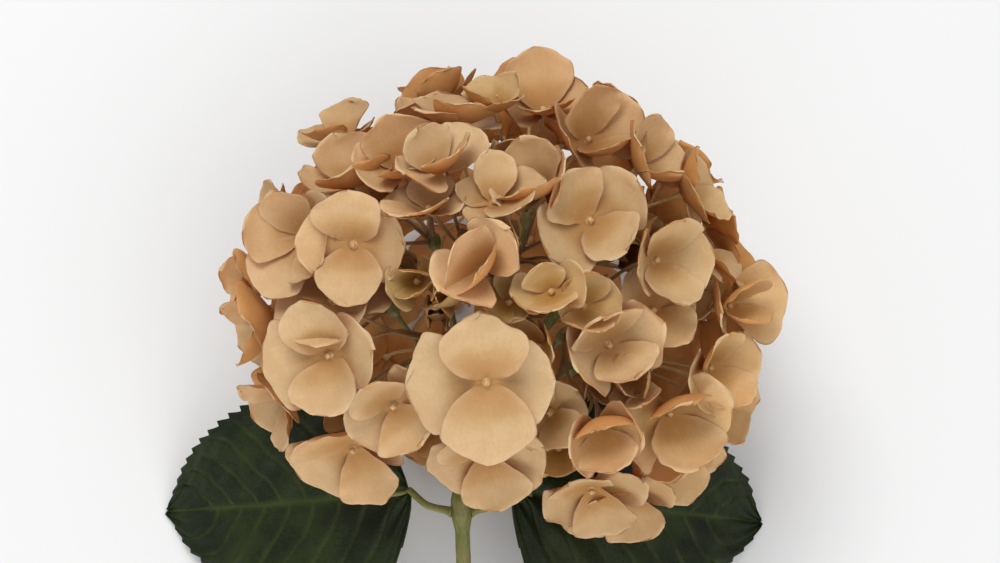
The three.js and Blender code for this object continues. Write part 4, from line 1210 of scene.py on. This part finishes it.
class Leaf:
    """A leaf: toothed blade with sunken veins, raised midrib and short stalk."""

    def __init__(self, side: Side) -> None:
        """Args: side: which leaf."""
        self.side = side
        self.solid = Solid(side.value)
        self.rings = self._rings()
        self.sizes = LeafSizes()

    def _rings(self) -> list[list[int]]:
        """Returns: the solid's cross-sections, from the stalk's start to the tip."""
        solid = self.solid
        near = corners(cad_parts["stem"].data)
        gaps = np.array([np.min(np.linalg.norm(near - p, axis=1)) for p in solid.points])
        first = int(np.argmin(gaps))
        seeds = np.argsort(np.linalg.norm(solid.points - solid.points[first], axis=1))[:10]
        rings = [sorted(int(i) for i in seeds)]
        seen = set(rings[0])
        while True:
            following = sorted({n for i in rings[-1] for n in solid.after[i] if n not in seen})
            if not following:
                return rings
            rings.append(following)
            seen.update(following)

    def _columns(self, ring: list[int]) -> Array:
        """Args: ring: a cross-section's corners. Returns: its five upper points from side to side."""
        p = self.solid.points[ring]
        gaps = np.linalg.norm(p[:, None] - p[None], axis=2)
        a, b = np.unravel_index(int(np.argmax(gaps)), gaps.shape)
        way = unit(p[b] - p[a])
        if way[1] < 0:
            way = -way
        order = np.argsort(p @ way)
        columns = []
        for k in range(0, 10, 2):
            pair = p[order[k : k + 2]]
            columns.append(pair[int(np.argmax(pair[:, 2]))])
        return np.array(columns)

    def build(self, finishes: dict[str, bpy.types.Material]) -> bpy.types.Object:
        """Args: finishes: materials by name. Returns: the dressed leaf."""
        s = self.sizes
        blades = [self._columns(ring) for ring in self.rings if len(ring) == 10]
        widths = [float(np.linalg.norm(c[-1] - c[0])) for c in blades]
        first = next(i for i, w in enumerate(widths) if w > 0.006)
        marks = np.array(blades[first:])
        skin = Skin()
        self._blade(skin, marks)
        stalk = np.array([c[2] for c in blades[: first + 1]])
        start = stalk[0] - unit(stalk[1] - stalk[0]) * 2.4 * MM
        stalk = np.vstack([start, stalk[:-1], marks[0, 2], marks[1, 2]])
        stalk[:, 2] -= 1.1 * MM
        path = spline(stalk, 40)
        t = np.linspace(0, 1, 40)
        radii = 1.55 * MM + 0.9 * MM * np.exp(-t / 0.06) - 0.35 * MM * t
        points, faces = tube(path, radii, 14)
        skin.add(points, faces, 1, shade=np.full(len(points), 1.0), under=np.zeros(len(points)))
        made = skin.build(self.side.value + "_grown", [finishes["leaf"], finishes["stem"]])
        return declared(made, self.side.value)

    def _blade(self, skin: Skin, marks: Array) -> None:
        """Adds the blade. Args: skin: where to; marks: (sections, 5, 3) upper points."""
        s = self.sizes
        rng = np.random.default_rng(7 if self.side is Side.LEFT else 8)
        lines = np.array([spline(marks[:, k], s.along) for k in range(5)])
        count = s.across
        u = np.linspace(-1, 1, 2 * count + 1)
        t = np.linspace(0, 1, s.along)
        smoothed = lines.copy()
        for k in (0, 4):
            for _ in range(30):
                smoothed[k, 1:-1] = (smoothed[k, :-2] + smoothed[k, 2:]) / 2
        grid = np.zeros((s.along, len(u), 3))
        at = (u + 1) * 2
        for j, a in enumerate(at):
            low = min(int(a), 3)
            f = a - low
            q = smoothed
            left = q[max(low - 1, 0)]
            right = q[min(low + 2, 4)]
            grid[:, j] = 0.5 * (
                2 * q[low]
                + (q[low + 1] - left) * f
                + (2 * left - 5 * q[low] + 4 * q[low + 1] - right) * f * f
                + (3 * q[low] - left - 3 * q[low + 1] + right) * f**3
            )
        round_off = np.sqrt(np.clip(1 - (1 - np.clip(t / 0.16, 0, 1)) ** 2, 0.004, 1))
        centre_line = grid[:, count : count + 1, :]
        grid = centre_line + (grid - centre_line) * round_off[:, None, None]
        along = unit(np.gradient(grid, axis=0))
        across = np.gradient(grid, axis=1)
        normal = unit(np.cross(along, across))
        if float(np.mean(normal[:, :, 2])) < 0:
            normal = -normal
        edge = np.abs(u)[None, :] * np.ones((s.along, 1))
        tt = t[:, None] * np.ones((1, len(u)))
        saw = (tt * s.teeth) % 1.0
        tooth = saw**1.3 * s.tooth * smooth_step(edge, 0.8, 1.0)
        tooth = tooth * np.sin(math.pi * np.clip(tt, 0, 1)) ** 0.4
        outward = unit(across) * np.sign(u)[None, :, None]
        grid = grid + outward * tooth[:, :, None] + along * (tooth * 0.5)[:, :, None]
        vein = self._veins(tt, u)
        puff = s.relief * (0.35 - vein) * smooth_step(edge, 0.02, 0.2)
        puff = puff * (1 - 0.6 * smooth_step(edge, 0.8, 1.0))
        rib = np.exp(-((edge / 0.03) ** 2))
        wave = 0.0012 * np.sin(9 * tt + 2 * np.sign(u)[None, :]) * edge**2
        jitter = 0.0005 * np.sin(31 * tt + 17 * u[None, :] + rng.uniform(0, 6))
        upper = grid + normal * (puff - 0.0005 * rib + wave + jitter)[:, :, None]
        thick = s.thickness + s.midrib * rib * (1 - 0.7 * tt) + 0.0004 * vein * (1 - edge)
        lower = upper - normal * thick[:, :, None]
        rows, columns = upper.shape[:2]
        n = rows * columns
        facing = np.cross(np.gradient(upper, axis=1), np.gradient(upper, axis=0))
        turned = float(np.mean(np.sum(facing * normal, axis=2))) > 0
        faces = shell_faces(rows, columns, turned, turn_wall=not turned)
        shade = np.clip(np.maximum(vein, rib), 0, 1).ravel()
        uv = np.stack(np.meshgrid(u * 0.5 + 0.5, t), axis=-1).reshape(-1, 2)
        skin.add(
            np.vstack([upper.reshape(-1, 3), lower.reshape(-1, 3)]),
            faces,
            0,
            uv=np.vstack([uv, uv]),
            shade=np.concatenate([shade, shade]),
            under=np.concatenate([np.zeros(n), np.ones(n)]),
        )

    def _veins(self, t: Array, u: Array) -> Array:
        """Args: t: share along at every corner; u: share across. Returns: 1 on the side veins, 0 between."""
        s = self.sizes
        out = np.zeros_like(t)
        edge = np.abs(u)[None, :] * np.ones((t.shape[0], 1))
        for side in (-1, 1):
            mine = (np.sign(u) == side)[None, :]
            for k in range(s.vein_pairs):
                start = 0.03 + 0.80 * (k / s.vein_pairs) ** 0.95 + (0.03 if side > 0 else 0.0)
                path = start + 0.26 * edge**1.3 * (1 - 0.35 * start) + 0.006 * np.sin(9 * edge + k)
                line = np.exp(-(((t - path) / 0.0055) ** 2)) * (1 - smooth_step(edge, 0.7, 1.0))
                out = np.where(mine, np.maximum(out, line), out)
        return out


# ---------------------------------------------------------------- stage


@dataclass(frozen=True)
class StageSizes:
    """Where the camera and lights stand, in metres."""

    distance: float = 0.90
    lens: float = 83.0
    aim: float = 0.0065
    floor: float = 6.0
    surround: float = 0.58


class Stage:
    """Floor, light and camera."""

    def __init__(self, centre: Array, turn: Array) -> None:
        """Args: centre: of the head; turn: rows are the head's own axes."""
        self.centre = centre
        self.turn = turn
        self.sizes = StageSizes()

    def build(self, ground: bpy.types.Material) -> None:
        """Args: ground: the floor's material."""
        s = self.sizes
        mesh = bpy.data.meshes.new("floor")
        h = s.floor
        mesh.from_pydata([(-h, -h, 0), (h, -h, 0), (h, h, 0), (-h, h, 0)], [], [(0, 1, 2, 3)])
        mesh.materials.append(ground)
        linked("floor", mesh)
        self._camera()
        self._lights()

    def _camera(self) -> None:
        """Sets the camera square to the head's face."""
        s = self.sizes
        data = bpy.data.cameras.new("camera")
        data.lens = s.lens
        data.clip_start = 0.01
        camera = linked("camera", data)
        right, up, out = self.turn
        aim = self.centre + up * s.aim
        place = aim + out * s.distance
        camera.matrix_world = Matrix(
            [
                [right[0], up[0], out[0], place[0]],
                [right[1], up[1], out[1], place[1]],
                [right[2], up[2], out[2], place[2]],
                [0, 0, 0, 1],
            ]
        )
        bpy.context.scene.camera = camera

    def _lights(self) -> None:
        """Adds soft light from above and a pale surround."""
        world = bpy.data.worlds.new("surround")
        bpy.context.scene.world = world
        world.use_nodes = True
        sky = world.node_tree.nodes["Background"].inputs
        sky["Color"].default_value = (1.0, 1.0, 1.0, 1.0)
        sky["Strength"].default_value = self.sizes.surround
        self._area("key", (-0.35, 1.0, 1.3), 0.9, 15.5, (1.0, 0.985, 0.965))
        self._area("fill", (0.7, -0.3, 1.6), 1.4, 7.0, (1.0, 0.99, 0.98))
        self._area("low", (-0.1, -1.3, 0.55), 0.9, 8.5, (1.0, 0.99, 0.98))
        scene = bpy.context.scene
        scene.view_settings.view_transform = "Standard"
        scene.view_settings.look = "None"
        scene.view_settings.exposure = 0.0

    def _area(
        self, name: str, offset: Sequence[float], size: float, power: float, colour: Sequence[float]
    ) -> None:
        """Args: name: the light's; offset: from the head; size: across; power: watts; colour: linear."""
        data = bpy.data.lights.new(name, "AREA")
        data.shape = "DISK"
        data.size = size
        data.energy = power
        data.color = colour
        light = linked(name, data)
        light.location = Vector(self.centre + self.turn.T @ np.array(offset))
        light.rotation_euler = (Vector(self.centre) - light.location).to_track_quat("-Z", "Y").to_euler()


# ---------------------------------------------------------------- the whole


def head_axes() -> Array:
    """Returns: the head's own axes as rows: right, towards its top, and out of its face."""
    lean = HeadSizes().lean
    return np.array(
        [[1, 0, 0], [0, math.cos(lean), math.sin(lean)], [0, -math.sin(lean), math.cos(lean)]], float
    )


def head_centre(turn: Array) -> Array:
    """Args: turn: the head's axes. Returns: the middle of the florets' reach, in the row frame."""
    florets = [node for name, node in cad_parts.items() if name.startswith("floret")]
    points = np.vstack([corners(node.data) @ turn.T for node in florets])
    return turn.T @ ((points.min(axis=0) + points.max(axis=0)) / 2)


def main() -> None:
    """Builds every piece in order, then the stage."""
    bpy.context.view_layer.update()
    turn = head_axes()
    centre = head_centre(turn)
    finishes_made = Finishes()
    finishes = {
        key: getattr(finishes_made, key)()
        for key in ("sepal", "stalk", "bud", "stem", "pith", "lenticel", "leaf", "floor")
    }
    ruffles = RuffleNodes()
    buds = BudNodes(finishes["bud"])
    specks = LenticelNodes(finishes["lenticel"])
    painter = Painter(centre, turn, np.random.default_rng(11))
    for number, name in enumerate(sorted(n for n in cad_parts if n.startswith("floret"))):
        piece = FloretPiece(name, painter, np.random.default_rng(100 + number))
        made = piece.build(ruffles, buds, finishes)
        log.info(
            "%s: %d florets, %s sepals, %d faces",
            name,
            len(piece.florets),
            "+".join(str(len(f.sepals)) for f in piece.florets),
            len(made.data.polygons),
        )
    for made in Stem().build(finishes, specks):
        log.info("%s: %d faces", made.name, len(made.data.polygons))
    for side in Side:
        made = Leaf(side).build(finishes)
        log.info("%s: %d faces", made.name, len(made.data.polygons))
    Stage(centre, turn).build(finishes["floor"])


if __name__ == "__main__":
    main()
